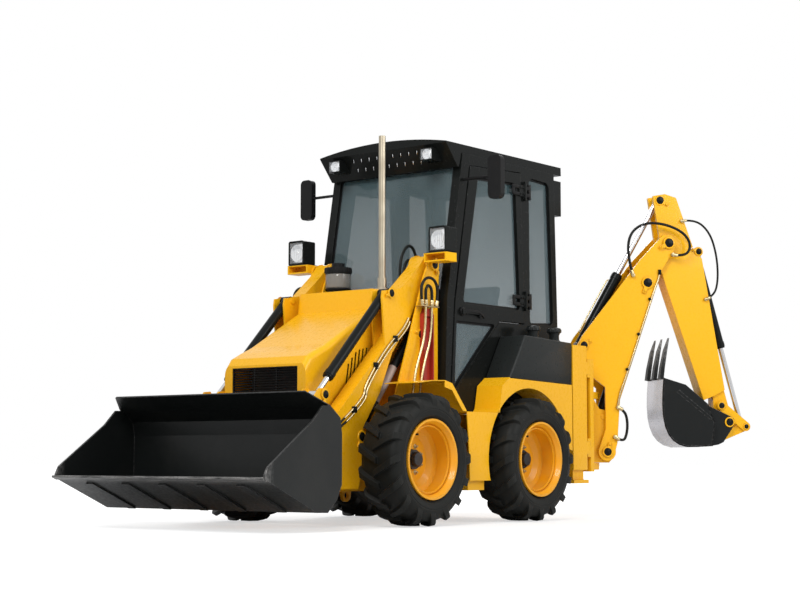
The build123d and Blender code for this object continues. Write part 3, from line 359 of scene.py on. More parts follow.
# Each CAD node takes its finish
nodeFinish = {
    "yellow": (yellow, ("chassis_frame", "loader_towers", "side_boxes", "engine_hood", "fenders",
                        "rear_frame",
                        "stabiliser_left", "stabiliser_right", "loader_arms", "bucket_carrier",
                        "side_shift_carriage",
                        "kingpost", "boom", "dipper", "bucket_lever", "bucket_link")),
    "rim": (rimYellow, ("rim_fl", "rim_fr", "rim_rl", "rim_rr")),
    "black": (black, ("cab_frame", "cab_roof", "door_frame", "tilt_barrels", "boom_barrel",
                      "dipper_barrel", "hoe_bucket_barrel")),
    "grey": (darkGrey, ("side_panels",)),
    "red": (red, ("lock_strut",)),
    "bucket": (bucketBlack, ("loader_bucket",)),
    "hoeBucket": (hoeBucketBlack, ("hoe_bucket",)),
    "rod": (chrome, ("lift_rods", "tilt_rods", "boom_rod", "dipper_rod", "hoe_bucket_rod")),
    "iron": (castIron, ("axles", "engine_block")),
    "exhaust": (exhaustSteel, ("exhaust_stack",)),
    "plastic": (plastic, ("front_grille", "air_cleaner", "controls", "mirrors")),
    "lampShell": (lampShell, ("lamps",)),
    "liftBarrel": (liftBarrel, ("lift_barrels",)),
    "tyre": (tyreRubber, ("tyre_fl", "tyre_fr", "tyre_rl", "tyre_rr")),
    "glass": (cabGlassFinish, ("cab_glass", "door_glass")),
    "lens": (lensFinish, ("lamp_lenses",)),
    "hose": (hoseRubber, ("tower_hoses", "boom_hoses", "dipper_hoses")),
    "cover": (seatCover, ("seat",)),
}
for finish, names in nodeFinish.values():
    for name in names:
        node = nodes[name]
        node.data.materials.clear()
        node.data.materials.append(finish)
print("nodes finished")


# Mesh helpers: every piece is one bmesh that stays at the origin
def begin():
    return bmesh.new()


def turnTo(axis, spot):
    # a frame whose z runs along axis, standing at spot
    return Matrix.Translation(spot) @ Vector(axis).normalized().to_track_quat("Z", "Y").to_matrix().to_4x4()


def hexBolt(mesh, spot, axis, size, washer=True):
    place = turnTo(axis, spot)
    made = bmesh.ops.create_cone(mesh, cap_ends=True, segments=6, radius1=size, radius2=size,
                                 depth=size * 0.9,
                                 matrix=place @ Matrix.Translation((0, 0, size * 0.6)))
    edges = list({edge for vert in made["verts"] for edge in vert.link_edges})
    bmesh.ops.bevel(mesh, geom=edges, offset=size * 0.12, affect="EDGES", segments=1, profile=0.5,
                    material=-1)
    if washer:
        bmesh.ops.create_cone(mesh, cap_ends=True, segments=20, radius1=size * 1.45, radius2=size * 1.4,
                              depth=size * 0.3, matrix=place @ Matrix.Translation((0, 0, size * 0.15)))


def disc(mesh, spot, axis, radius, depth, bevel=0.0, segments=32, taper=1.0):
    made = bmesh.ops.create_cone(mesh, cap_ends=True, segments=segments, radius1=radius,
                                 radius2=radius * taper,
                                 depth=depth,
                                 matrix=turnTo(axis, spot) @ Matrix.Translation((0, 0, depth / 2)))
    if bevel:
        rims = [edge for edge in {e for v in made["verts"] for e in v.link_edges}
                if len(edge.link_faces) == 2 and max(len(f.verts) for f in edge.link_faces) > 4]
        bmesh.ops.bevel(mesh, geom=rims, offset=bevel, affect="EDGES", segments=2, profile=0.5, material=-1)


def block(mesh, low, high, bevel=0.0, turn=None):
    size = [high[i] - low[i] for i in range(3)]
    middle = Vector([(high[i] + low[i]) / 2 for i in range(3)])
    matrix = Matrix.Translation(middle)
    if turn:
        matrix = matrix @ turn
    made = bmesh.ops.create_cube(mesh, size=1, matrix=matrix @ Matrix.Diagonal((*size, 1)))
    if bevel:
        edges = list({edge for vert in made["verts"] for edge in vert.link_edges})
        bmesh.ops.bevel(mesh, geom=edges, offset=bevel, affect="EDGES", segments=2, profile=0.5, material=-1)


def strip(mesh, corners, width, depth, normal):
    # a flat seal that follows a closed row of corners, its outer edge on them
    loop = mesh.faces.new([mesh.verts.new(corner) for corner in corners])
    loop.normal_update()
    if loop.normal.dot(normal) < 0:
        loop.normal_flip()
    bmesh.ops.inset_region(mesh, faces=[loop], thickness=width, use_even_offset=True, use_boundary=True)
    bmesh.ops.delete(mesh, geom=[loop], context="FACES")
    ring = [face for face in mesh.faces if face.is_valid and not face.tag]
    raised = bmesh.ops.extrude_face_region(mesh, geom=ring)
    moved = [item for item in raised["geom"] if isinstance(item, bmesh.types.BMVert)]
    bmesh.ops.translate(mesh, verts=moved, vec=Vector(normal) * depth)
    for face in mesh.faces:
        face.tag = True


def finishPiece(name, mesh, body, materials):
    bmesh.ops.remove_doubles(mesh, verts=mesh.verts[:], dist=0.00002)
    bmesh.ops.recalc_face_normals(mesh, faces=mesh.faces[:])
    data = bpy.data.meshes.new(name)
    mesh.to_mesh(data)
    mesh.free()
    piece = bpy.data.objects.new(name, data)
    scene.collection.objects.link(piece)
    for material in materials:
        data.materials.append(material)
    data.shade_smooth()
    data.set_sharp_from_angle(angle=math.radians(32))
    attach(piece, body)
    return piece


def tube(name, points, radius, body, material, order=3, resolution=10):
    data = bpy.data.curves.new(name, "CURVE")
    data.dimensions = "3D"
    spline = data.splines.new("NURBS")
    spline.points.add(len(points) - 1)
    for point, spot in zip(spline.points, points):
        point.co = (*spot, 1)
    spline.order_u = order
    spline.use_endpoint_u = True
    spline.resolution_u = resolution
    data.bevel_depth = radius
    data.bevel_resolution = 3
    data.use_fill_caps = True
    piece = bpy.data.objects.new(name, data)
    scene.collection.objects.link(piece)
    data.materials.append(material)
    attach(piece, body)
    return piece


def lathe(mesh, profile, spot, axis, steps=48):
    # profile runs as (radius, distance along the axis)
    turn = turnTo(axis, spot)
    rim = [mesh.verts.new(turn @ Vector((radius, 0, depth))) for radius, depth in profile]
    edges = [mesh.edges.new(pair) for pair in zip(rim, rim[1:])]
    bmesh.ops.spin(mesh, geom=rim + edges, cent=spot, axis=Vector(axis).normalized(), angle=2 * math.pi,
                   steps=steps,
                   use_merge=True)


def loft(mesh, sections):
    # skins closed rings of as many corners each, and caps both ends
    rings = [[mesh.verts.new(corner) for corner in section] for section in sections]
    for near, far in zip(rings, rings[1:]):
        for i in range(len(near)):
            j = (i + 1) % len(near)
            mesh.faces.new((near[i], near[j], far[j], far[i]))
    mesh.faces.new(rings[0])
    mesh.faces.new(rings[-1][::-1])


def pinHead(mesh, spot, axis, radius, keeper=None):
    # a boss ring round a dark chamfered pin end, with a keeper plate and its bolt towards keeper
    lathe(mesh, ((radius * 1.35, 0.0), (radius * 1.3, 0.004), (radius, 0.005), (radius, 0.0)), spot, axis, 28)
    fresh = set(mesh.faces)
    disc(mesh, spot, axis, radius * 0.94, 0.0065, 0.0015, 28)
    disc(mesh, spot + Vector(axis) * 0.0065, axis, radius * 0.4, 0.0015, 0.0005, 16)
    for face in mesh.faces:
        if face not in fresh:
            face.material_index = 1
    if keeper:
        aim = Vector(keeper).normalized()
        centre = spot + aim * radius * 1.5
        across = Vector(axis).cross(aim)
        size = radius * 0.42
        corners = [centre + aim * a * radius * 0.95 + across * b * size for a,
                   b in ((-1, -1), (1, -1), (1, 1), (-1, 1))]
        loft(mesh, [corners, [corner + Vector(axis) * 0.005 for corner in corners]])
        hexBolt(mesh, centre + aim * radius * 0.4 + Vector(axis) * 0.005, axis, radius * 0.26)


# Tyres: a spun carcass with rim guard and sidewall lines, and leaning lugs that wrap its shoulders
tyreLook = {"lugs": 16, "lean": 0.53, "flare": 1.3}
carcass = ((0.209, 0.104), (0.2235, 0.109), (0.234, 0.119), (0.243, 0.1265), (0.247, 0.1265), (0.252, 0.1285),
           (0.27, 0.1312), (0.272, 0.1298), (0.277, 0.1298), (0.279, 0.1314), (0.29, 0.1305), (0.304, 0.127),
           (0.32, 0.12), (0.334, 0.106), (0.341, 0.082), (0.345, 0.04), (0.346, 0.0))
# lug stations from inside the tread to the sidewall: foot distance and radius, top distance and radius,
# half width
lugStations = ((-0.012, 0.342, -0.012, 0.3655, 0.0155), (0.035, 0.341, 0.035, 0.367, 0.016),
               (0.08, 0.336, 0.08, 0.3665, 0.017), (0.104, 0.328, 0.111, 0.361, 0.0185),
               (0.114, 0.315, 0.1255, 0.346, 0.0195), (0.121, 0.3, 0.1312, 0.326, 0.02),
               (0.125, 0.285, 0.1305, 0.296, 0.02))


def tyreLug(mesh, centre, hand, side, angle):
    sections = []
    for footX, footR, topX, topR, half in lugStations:
        ring = []
        for x, radius, across in ((footX, footR, -half * tyreLook["flare"]), (topX, topR, -half),
                                  (topX, topR, half),
                                  (footX, footR, half * tyreLook["flare"])):
            around = angle - (tyreLook["lean"] * x + across) / radius
            ring.append(centre + Vector((hand * side * x, -hand * radius * math.sin(around),
                                         radius * math.cos(around))))
        sections.append(ring)
    loft(mesh, sections)


for name, hand, y in (("fl", 1, 0.0), ("fr", -1, 0.0), ("rl", 1, machine["wheelbase"]),
                      ("rr", -1, machine["wheelbase"])):
    centre = at(hand * machine["tyreMidX"], y, machine["axleHeight"])
    mesh = begin()
    profile = list(carcass) + [(radius, -x) for radius, x in carcass[-2::-1]]
    lathe(mesh, profile + profile[:1], centre, (hand, 0, 0), 96)
    for i in range(2 * tyreLook["lugs"]):
        tyreLug(mesh, centre, hand, 1 if i % 2 else -1, i * math.pi / tyreLook["lugs"])
    piece = finishPiece(f"lugTyre_{name}", mesh, f"wheel_{name}", [tyreRubber])
    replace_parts(piece, f"tyre_{name}")
    mesh = begin()
    # stepped ring inside the rim and the air valve
    out = Vector((hand, 0, 0))
    lathe(mesh, ((0.178, 0.084), (0.186, 0.087), (0.188, 0.094), (0.181, 0.096), (0.178, 0.084)), centre, out,
          64)
    lathe(mesh, ((0.206, 0.118), (0.213, 0.124), (0.219, 0.1262), (0.2225, 0.124), (0.2225, 0.119),
                 (0.206, 0.118)), centre,
          out, 64)
    finishPiece(f"rimRings_{name}", mesh, f"wheel_{name}", [rimYellow])
    mesh = begin()
    valveSpot = centre + Vector((0.055 * hand, 0.168 * math.cos(2.2), 0.168 * math.sin(2.2)))
    disc(mesh, valveSpot, out, 0.0045, 0.03, 0.001, 10)
    disc(mesh, valveSpot + out * 0.03, out, 0.0058, 0.012, 0.0015, 10)
    finishPiece(f"airValve_{name}", mesh, f"wheel_{name}", [plastic])
print("tyres made")

# Pin ends with their keepers: body, y, z, outer face, radius, keeper's direction
sidePins = (
    ("chassis", 0.42, 1.5, 0.462, 0.026, (0, 0.6, -1)), ("chassis", 0.3, 1.085, 0.452, 0.024, (0, -1, 0.3)),
    ("loader_arm", 0.062, 1.308, 0.426, 0.022, (0, -1, -0.4)),
    ("loader_arm", -0.19, 0.492, 0.42, 0.026, (0, -0.5, -1)),
    ("loader_bucket", -0.64, 0.27, 0.444, 0.023, (0, 0.4, 1)),
    ("loader_bucket", -0.525, 0.715, 0.444, 0.023, (0, -0.2, -1)),
)
for body in ("chassis", "loader_arm", "loader_bucket"):
    mesh = begin()
    for pinBody, y, z, face, radius, keeper in sidePins:
        if pinBody == body:
            for side in (1, -1):
                pinHead(mesh, at(side * face, y, z), (side, 0, 0), radius, keeper)
    finishPiece(f"pinEnds_{body}", mesh, body, [yellow, black])
# u, z, outer face, radius and the keeper's direction in u and z
hoePins = (
    ("boom", 0.101, 0.415, 0.108, 0.026, (0.3, 1)), ("boom", 0.536, 1.778, 0.11, 0.03, (-1, -0.6)),
    ("boom", -0.05, 1.1, 0.106, 0.024, (1, 0.7)), ("boom", 0.387, 1.513, 0.106, 0.03, (-0.4, -1)),
    ("dipper", 0.757, 1.731, 0.067, 0.021, (-1, 0.3)), ("dipper", 0.892, 0.717, 0.084, 0.02, None),
    ("dipper", 0.495, 2.065, 0.062, 0.026, (1, -0.6)), ("bucket_lever", 1.062, 0.581, 0.082, 0.015, None),
    ("bucket_link", 0.867, 0.502, 0.083, 0.02, None), ("hoe_bucket", 0.938, 0.609, 0.104, 0.025, None),
)
for body in ("boom", "dipper", "bucket_lever", "bucket_link", "hoe_bucket"):
    mesh = begin()
    for pinBody, u, z, face, radius, keeper in hoePins:
        if pinBody == body:
            for side in (1, -1):
                aim = keeper and hoeAt(keeper[0], keeper[1]) - hoeAt(0, 0)
                pinHead(mesh, hoeAt(u, z, side * face), hoeAcross * side, radius, aim)
    finishPiece(f"pinEnds_{body}", mesh, body, [yellow, black])
print("pins made")

# Hoses that repeat the routes of the CAD ones, with their crimped ends
shelfX = machine["towerOuter"] + 0.042
shelfLoops = (((0.262, 1.25), (0.246, 1.33), (0.268, 1.392), (0.325, 1.42), (0.388, 1.4), (0.412, 1.335),
               (0.392, 1.25)),
              ((0.298, 1.25), (0.29, 1.325), (0.306, 1.368), (0.338, 1.366), (0.356, 1.325), (0.35, 1.25)))
cowlLoops = (((0.322, 1.323), (0.3, 1.44), (0.318, 1.56), (0.385, 1.632), (0.448, 1.6), (0.47, 1.5),
              (0.458, 1.323)),
             ((0.345, 1.323), (0.335, 1.43), (0.352, 1.51), (0.392, 1.545), (0.426, 1.5), (0.43, 1.42),
              (0.425, 1.323)))
boomLoops = (((0.285, 1.56), (0.25, 1.68), (0.262, 1.83), (0.36, 1.905), (0.5, 1.905), (0.64, 1.85),
              (0.69, 1.765),
              (0.65, 1.69), (0.56, 1.7)),
             ((0.15, 0.51), (0.205, 0.475), (0.232, 0.535), (0.235, 0.62), (0.215, 0.68), (0.172, 0.7)))
dipperLoop = ((0.64, 1.93), (0.735, 1.945), (0.835, 1.86), (0.88, 1.71), (0.888, 1.55), (0.86, 1.44),
              (0.798, 1.415))


def crimp(mesh, end, inward, radius):
    # a crimped sleeve on the hose's end and the hexagon that screws it down
    aim = (inward - end).normalized()
    disc(mesh, end, aim, radius * 1.35, 0.034, 0.002, 20)
    hexBolt(mesh, end, aim, radius * 1.55, False)


towerHoses = []
for number, (route, x) in enumerate([(route, side * shelfX) for route in shelfLoops for side in (1, -1)]
                                    + [(route, 0.294) for route in cowlLoops]):
    points = [at(x, y, z) for y, z in route]
    hose = tube(f"towerHose_{number}", points, 0.0088, "chassis", hoseRubber)
    towerHoses.append((hose, points))
    if number == 0:
        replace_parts(hose, "tower_hoses")
mesh = begin()
for hose, points in towerHoses:
    crimp(mesh, points[0], points[1], 0.009)
    crimp(mesh, points[-1], points[-2], 0.009)
for side in (1, -1):
    low = at(min(side * (machine["towerOuter"] + 0.0005), side * (shelfX + 0.012)), 0.25, 1.243)
    high = at(max(side * (machine["towerOuter"] + 0.0005), side * (shelfX + 0.012)), 0.408, 1.249)
    block(mesh, low, high, 0.0015)
finishPiece("towerFittings", mesh, "chassis", [zinc])
boomEnds = begin()
for number, route in enumerate(boomLoops):
    points = [hoeAt(u, z, 0.112) for u, z in route]
    hose = tube(f"boomHose_{number}", points, 0.0088, "boom", hoseRubber)
    if number == 0:
        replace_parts(hose, "boom_hoses")
    crimp(boomEnds, points[0], points[1], 0.009)
    crimp(boomEnds, points[-1], points[-2], 0.009)
    for end in (route[0], route[-1]):
        disc(boomEnds, hoeAt(end[0], end[1], 0.1003), hoeAcross, 0.013, 0.022, 0.002, 20)
finishPiece("boomFittings", boomEnds, "boom", [zinc])
points = [hoeAt(u, z, 0.074) for u, z in dipperLoop]
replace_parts(tube("dipperHose", points, 0.0068, "dipper", hoseRubber), "dipper_hoses")
mesh = begin()
for end, inward in ((0, 1), (-1, -2)):
    crimp(mesh, points[end], points[inward], 0.007)
    disc(mesh, hoeAt(dipperLoop[end][0], dipperLoop[end][1], 0.0623), hoeAcross, 0.011, 0.018, 0.002, 20)
finishPiece("dipperFittings", mesh, "dipper", [zinc])

# Gold zinc pipes with their clamps
armPipe = ((0.219, 1.176), (0.182, 1.116), (0.028, 1.011), (-0.174, 0.778), (-0.174, 0.711), (-0.344, 0.592))
towerPipes = (((0.293, 1.243), (0.293, 1.081), (0.209, 0.904), (0.172, 0.76), (0.165, 0.69)),
              ((0.35, 1.243), (0.35, 1.084), (0.274, 0.907), (0.237, 0.762), (0.23, 0.69)))
for side in (1, -1):
    hand = "left" if side > 0 else "right"
    for number, drop in enumerate((0.0, 0.02)):
        points = [at(side * 0.4268, y + drop * 0.7, z - drop) for y, z in armPipe]
        tube(f"armPipe_{hand}{number}", points, 0.0062, "loader_arm", zinc)
        bend = [at(side * 0.4268, y, z) for y,
                z in ((-0.344 + drop * 0.7, 0.592 - drop), (-0.41, 0.548 - drop),
                                                     (-0.452, 0.47 - drop), (-0.452, 0.38))]
        tube(f"armHose_{hand}{number}", bend, 0.0062, "loader_arm", hoseRubber)
    for number, route in enumerate(towerPipes):
        tube(f"towerPipe_{hand}{number}", [at(side * shelfX, y, z) for y, z in route], 0.0075, "chassis",
             zinc)
for side in (1, -1):
    mesh = begin()
    for y, z in ((0.1, 1.052), (-0.075, 0.892), (-0.26, 0.642)):
        block(mesh, at(side * 0.4268 - 0.0065, y - 0.016, z - 0.02),
              at(side * 0.4268 + 0.0065, y + 0.016, z + 0.016), 0.002)
        hexBolt(mesh, at(side * 0.433, y, z), (side, 0, 0), 0.005)
    finishPiece(f"pipeClamps_{'left' if side > 0 else 'right'}", mesh, "loader_arm", [black])
print("hoses and pipes made")

# Cab seals: closed rows of corners on the glass, the way they face and the body they ride on
def frontAt(z):
    return 0.492 + (z - 1.3) * 0.1775 if z > 1.3 else 0.47 + (z - 0.7) * 0.0367


def rearAt(z):
    return 1.66 - (z - 1.2) * 0.0303


screenTilt = Vector((0, -0.9846, 0.1748))
tailTilt = Vector((0, 0.9995, 0.0303))
quarterCorners = ((1.345, 2.13), (1.57, 2.12), (1.612, 1.215), (1.35, 1.2))
doorCorners = ((0.797, 2.06), (1.19, 2.075), (1.233, 1.285), (0.64, 1.285))
lowCorners = ((0.576, 1.18), (0.975, 1.18), (0.64, 0.858), (0.574, 0.79), (0.555, 0.79))
sealLook = {"width": 0.014, "depth": 0.005}
seals = {
    "windscreenSeal": ("chassis", [at(x, frontAt(z) + 0.0118, z) for x,
                                   z in ((-0.4435, 1.351), (0.4435, 1.351),
                                                                             (0.4435, 2.119),
                                                                             (-0.4435, 2.119))], screenTilt),
    "rearScreenSeal": ("chassis", [at(x, rearAt(z) - 0.0168, z) for x,
                                   z in ((-0.4435, 1.221), (0.4435, 1.221),
                                                                            (0.4435, 2.109),
                                                                            (-0.4435, 2.109))], tailTilt),
    "leftQuarterSeal": ("chassis", [at(0.4852, y, z) for y, z in quarterCorners], acrossMachine),
    "rightQuarterSeal": ("chassis", [at(-0.4852, y, z) for y, z in quarterCorners], -acrossMachine),
    "rightSideSeal": ("chassis", [at(-0.4852, y, z) for y, z in doorCorners], -acrossMachine),
    "doorUpperSeal": ("door", [at(0.4908, y, z) for y, z in doorCorners], acrossMachine),
    "doorLowerSeal": ("door", [at(0.4908, y, z) for y, z in lowCorners], acrossMachine),
}
for name, (body, corners, normal) in seals.items():
    mesh = begin()
    strip(mesh, corners, sealLook["width"], sealLook["depth"], normal)
    finishPiece(name, mesh, body, [plastic])
print("seals made")

# Lamps: a bowl and bulb behind a ribbed lens, in place of the plain lenses
headLamp = {"x": (0.4955, 0.6015), "z": (1.5725, 1.7015), "front": 0.334, "back": 0.3455, "ribs": 7}
workLamp = {"x": (0.3193, 0.4007), "z": (2.1435, 2.2065), "front": 0.472, "back": 0.4815, "ribs": 5}
lampBowls = begin()
lampGlass = begin()
for look in (headLamp, workLamp):
    x0, x1 = look["x"]
    z0, z1 = look["z"]
    radius = min(x1 - x0, z1 - z0) * 0.46
    depth = look["back"] - look["front"] - 0.003
    for side in (1, -1):
        centre = at(side * (x0 + x1) / 2, look["back"], (z0 + z1) / 2)
        bowl = [(radius * i / 6, depth * (i / 6) ** 2 * 0.8) for i in range(1, 7)]
        lathe(lampBowls, [(0.0001, 0.0)] + bowl + [(radius * 1.06, depth * 0.8)], centre, (0, -1, 0), 32)
        disc(lampBowls, centre, (0, -1, 0), radius * 0.2, depth * 0.7, 0.0008, 16)
        low, high = sorted((side * x0, side * x1))
        block(lampBowls, at(low, look["back"] - 0.0012, z0), at(high, look["back"] - 0.0002, z1), 0.0003)
        block(lampGlass, at(low, look["front"], z0), at(high, look["front"] + 0.0018, z1), 0.0006)
        for i in range(look["ribs"]):
            x = low + (high - low) * (i + 0.5) / look["ribs"]
            disc(lampGlass, at(x, look["front"] + 0.0012, z0 + 0.004), (0, 0, 1), 0.0016, z1 - z0 - 0.008,
                 0.0, 8)
finishPiece("lampReflectors", lampBowls, "chassis", [reflector])
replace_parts(finishPiece("lampLenses", lampGlass, "chassis", [lensFinish]), "lamp_lenses")

# Mirror glasses, and the red and amber lenses of the rear lamps
mesh = begin()
for side in (1, -1):
    low, high = sorted((side * 0.704, side * 0.774))
    block(mesh, at(low, 0.6745, 1.912), at(high, 0.6762, 2.13), 0.0006)
finishPiece("mirrorGlasses", mesh, "chassis", [mirrorGlass])
mesh = begin()
for side in (1, -1):
    low, high = sorted((side * 0.436, side * 0.494))
    block(mesh, at(low, 1.708, 1.94), at(high, 1.7118, 2.03), 0.0015)
finishPiece("rearRedLenses", mesh, "chassis", [redLens])
mesh = begin()
for side in (1, -1):
    low, high = sorted((side * 0.436, side * 0.494))
    block(mesh, at(low, 1.708, 2.045), at(high, 1.7118, 2.135), 0.0015)
finishPiece("rearAmberLenses", mesh, "chassis", [amberFinish])
print("lamps made")

# Tanks over the rear wheels: a softly edged moulding with two flared, ribbed filler caps
tankCorners = ((0.857, 0.8475), (1.016, 1.112), (1.398, 1.096), (1.534, 1.091), (1.529, 0.8285))
tankLook = {"inner": 0.506, "outer": 0.6898, "edge": 0.009, "capX": 0.6, "capRows": (1.238, 1.47),
            "capFoot": 1.085}
mesh = begin()
for side in (1, -1):
    loft(mesh, [[at(side * x, y, z) for y, z in tankCorners] for x in (tankLook["inner"], tankLook["outer"])])
bmesh.ops.recalc_face_normals(mesh, faces=mesh.faces[:])
bmesh.ops.bevel(mesh, geom=mesh.edges[:], offset=tankLook["edge"], affect="EDGES", segments=3, profile=0.5,
                material=-1)
for side in (1, -1):
    for y in tankLook["capRows"]:
        foot = at(side * tankLook["capX"], y, tankLook["capFoot"])
        lathe(mesh, ((0.0001, 0.1), (0.03, 0.1), (0.04, 0.096), (0.043, 0.088), (0.043, 0.07), (0.036, 0.066),
                     (0.03, 0.05),
                     (0.031, 0.025), (0.042, 0.012), (0.042, 0.0)), foot, (0, 0, 1), 36)
        for i in range(12):
            angle = i * math.pi / 6
            disc(mesh, foot + Vector((math.cos(angle) * 0.0425, math.sin(angle) * 0.0425, 0.071)), (0, 0, 1),
                 0.003, 0.017,
                 0.0008, 8)
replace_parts(finishPiece("sideTanks", mesh, "chassis", [darkGrey]), "side_panels")

# Door lever, its lock, and the bolts of the hinge leaves
mesh = begin()
grip = []
for x, y, z, half in ((0.5115, 0.6, 1.243, 0.007), (0.522, 0.64, 1.244, 0.009), (0.5265, 0.7, 1.244, 0.01),
                      (0.5265, 0.77, 1.242, 0.01), (0.524, 0.81, 1.226, 0.009), (0.522, 0.83, 1.212, 0.007)):
    grip.append([at(x + a * 0.005, y, z + b * half) for a, b in ((-1, -1), (1, -0.7), (1, 0.7), (-1, 1))])
loft(mesh, grip)
disc(mesh, at(0.505, 0.63, 1.238), acrossMachine, 0.026, 0.012, 0.003, 32)
finishPiece("doorLever", mesh, "door", [plastic])
mesh = begin()
disc(mesh, at(0.517, 0.622, 1.238), acrossMachine, 0.009, 0.004, 0.001, 20)
for z0 in (1.3, 1.99):
    for y in (1.238, 1.262):
        for z in (z0 + 0.026, z0 + 0.064):
            hexBolt(mesh, at(0.515, y, z), acrossMachine, 0.0065)
finishPiece("doorBolts", mesh, "door", [black])
print("cab dressed")

# Digging bucket: a wrapper bent in one smooth sweep, creased sides and three pointed teeth
hoeBucketLook = {"half": 0.15, "plate": 0.008, "side": 0.01, "steps": 8}
wrapperBends = (((0.471, 0.893), (0.44, 0.62), (0.47, 0.47), (0.622, 0.446)),
                ((0.622, 0.446), (0.72, 0.446), (0.76, 0.449),
                                                                            (0.8, 0.452)))
wrapperLine = []
for start, pull, push, end in wrapperBends:
    for i in range(hoeBucketLook["steps"] + (end[0] == 0.8)):
        t = i / hoeBucketLook["steps"]
        weights = ((1 - t) ** 3, 3 * t * (1 - t) ** 2, 3 * t * t * (1 - t), t ** 3)
        wrapperLine.append(tuple(sum(w * p[k] for w, p in zip(weights, (start, pull, push, end))) for k in (0,
                1)))
wrapperLine += [(0.82, 0.6), (0.771, 0.726)]


def inwardOf(line, i):
    before, after = Vector(line[max(i - 1, 0)]), Vector(line[min(i + 1, len(line) - 1)])
    run = (after - before).normalized()
    return Vector((-run.y, run.x))


bucketShell = begin()
half = hoeBucketLook["half"]
rings = []
for i, (u, z) in enumerate(wrapperLine):
    inner = Vector((u, z)) + inwardOf(wrapperLine, i) * hoeBucketLook["plate"]
    rings.append([hoeAt(u, z, -half), hoeAt(u, z, half), hoeAt(inner.x, inner.y, half),
                  hoeAt(inner.x, inner.y, -half)])
loft(bucketShell, rings)
sidePlate = wrapperLine + [(0.622, 0.849)]
for x in (-half, half - hoeBucketLook["side"]):
    loft(bucketShell, [[hoeAt(u, z, x + shift) for u, z in sidePlate] for shift in (0,
            hoeBucketLook["side"])])
    # the pressed crease across the side
    outside = x if x < 0 else x + hoeBucketLook["side"]
    step = 0.0022 if x > 0 else -0.0022
    crease = [(0.56, 0.8), (0.575, 0.815), (0.8, 0.635), (0.79, 0.62)]
    loft(bucketShell, [[hoeAt(u, z, outside + shift) for u, z in crease] for shift in (0, step)])
ears = ((0.771, 0.726), (0.94, 0.65), (0.972, 0.63), (0.972, 0.59), (0.895, 0.478), (0.86, 0.462),
        (0.8, 0.452))
for x in (-0.099, 0.084):
    loft(bucketShell, [[hoeAt(u, z, x + shift) for u, z in ears] for shift in (0, 0.015)])
toothRows = ((0.4595, 0.884, 0.022, 0.013), (0.47, 0.96, 0.021, 0.012), (0.492, 1.07, 0.018, 0.009),
             (0.516, 1.152, 0.009, 0.003))
for x in (-0.125, 0.0, 0.125):
    rows = []
    for u, z, wide, thick in toothRows:
        rows.append([hoeAt(u + a * thick, z - a * thick * 0.2, x + b * wide) for a,
                     b in ((-1, -1), (1, -1), (1, 1), (-1, 1))])
    loft(bucketShell, rows)
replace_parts(finishPiece("diggingBucket", bucketShell, "hoe_bucket", [hoeBucketBlack]),
            "hoe_bucket")
mesh = begin()
# worn bright wrapper, and the band beside the cutting edge
bright = []
for i in range(2 * hoeBucketLook["steps"] - 4):
    u, z = wrapperLine[i]
    skin = Vector((u, z)) - inwardOf(wrapperLine, i) * 0.0012
    bright.append([hoeAt(u, z, 0.004 - half), hoeAt(u, z, half - 0.004), hoeAt(skin.x, skin.y, half - 0.004),
                   hoeAt(skin.x, skin.y, 0.004 - half)])
loft(mesh, bright)
finishPiece("wrapperWear", mesh, "hoe_bucket", [rubbedSteel])

# Gold pipes down the boom's edge, on the outside plate
boomPipe = ((0.471, 1.6), (0.468, 1.55), (0.432, 1.47), (0.23, 0.89), (0.19, 0.8), (0.172, 0.715))
tube("boomPipe", [hoeAt(u, z, 0.1072) for u, z in boomPipe], 0.0065, "boom", zinc)
mesh = begin()
for u, z in ((0.41, 1.407), (0.33, 1.177), (0.25, 0.947)):
    disc(mesh, hoeAt(u - 0.012, z, 0.1002), hoeAcross, 0.009, 0.016, 0.002, 16)
    hexBolt(mesh, hoeAt(u - 0.012, z, 0.1162), hoeAcross, 0.0045, False)
crimp(mesh, hoeAt(0.471, 1.6, 0.1072), hoeAt(0.468, 1.55, 0.1072), 0.0075)
finishPiece("boomPipeClips", mesh, "boom", [black])
ramSlope = Vector((0.4918, 0.8707))
ramPipe = []
for run, off in ((0.08, 0.036), (0.08, 0.045), (0.12, 0.046), (0.44, 0.046), (0.48, 0.045), (0.48, 0.036)):
    ramPipe.append(hoeAt(-0.05 + ramSlope.x * run - ramSlope.y * off,
                         1.1 + ramSlope.y * run + ramSlope.x * off))
tube("dipperRamPipe", ramPipe, 0.005, "dipper_ram_barrel", zinc)
print("digging bucket made")

# Pale linings that show in the visor's slots, hinge leaves, the mirror behind the windscreen
mesh = begin()
visorTilt = math.atan2(0.606 - 0.491, 2.236 - 2.104)
for z in (2.2, 2.15):
    y = 0.606 + (0.491 - 0.606) * (z - 2.104) / (2.236 - 2.104)
    for i in range(9):
        turn = Matrix.Rotation(visorTilt, 4, "X") @ Matrix.Rotation(math.radians(24), 4, "Y")
        spot = at((i - 4) * 0.062, y + 0.006, z)
        block(mesh, spot - Vector((0.0048, 0.0008, 0.0165)), spot + Vector((0.0048, 0.0008, 0.0165)), 0.0004,
              turn)
finishPiece("visorSlotLinings", mesh, "chassis", [reflector])
leaves = begin()
fixed = begin()
for z0 in (1.3, 1.99):
    for low, high in ((z0 + 0.012, z0 + 0.034), (z0 + 0.056, z0 + 0.078)):
        block(leaves, at(0.5052, 1.15, low), at(0.5145, 1.268, high), 0.003)
        block(fixed, at(0.5002, 1.3, low), at(0.5125, 1.352, high), 0.003)
    block(leaves, at(0.5052, 1.15, z0 + 0.012), at(0.5135, 1.176, z0 + 0.078), 0.003)
    block(fixed, at(0.5002, 1.33, z0 - 0.004), at(0.5115, 1.356, z0 + 0.094), 0.003)
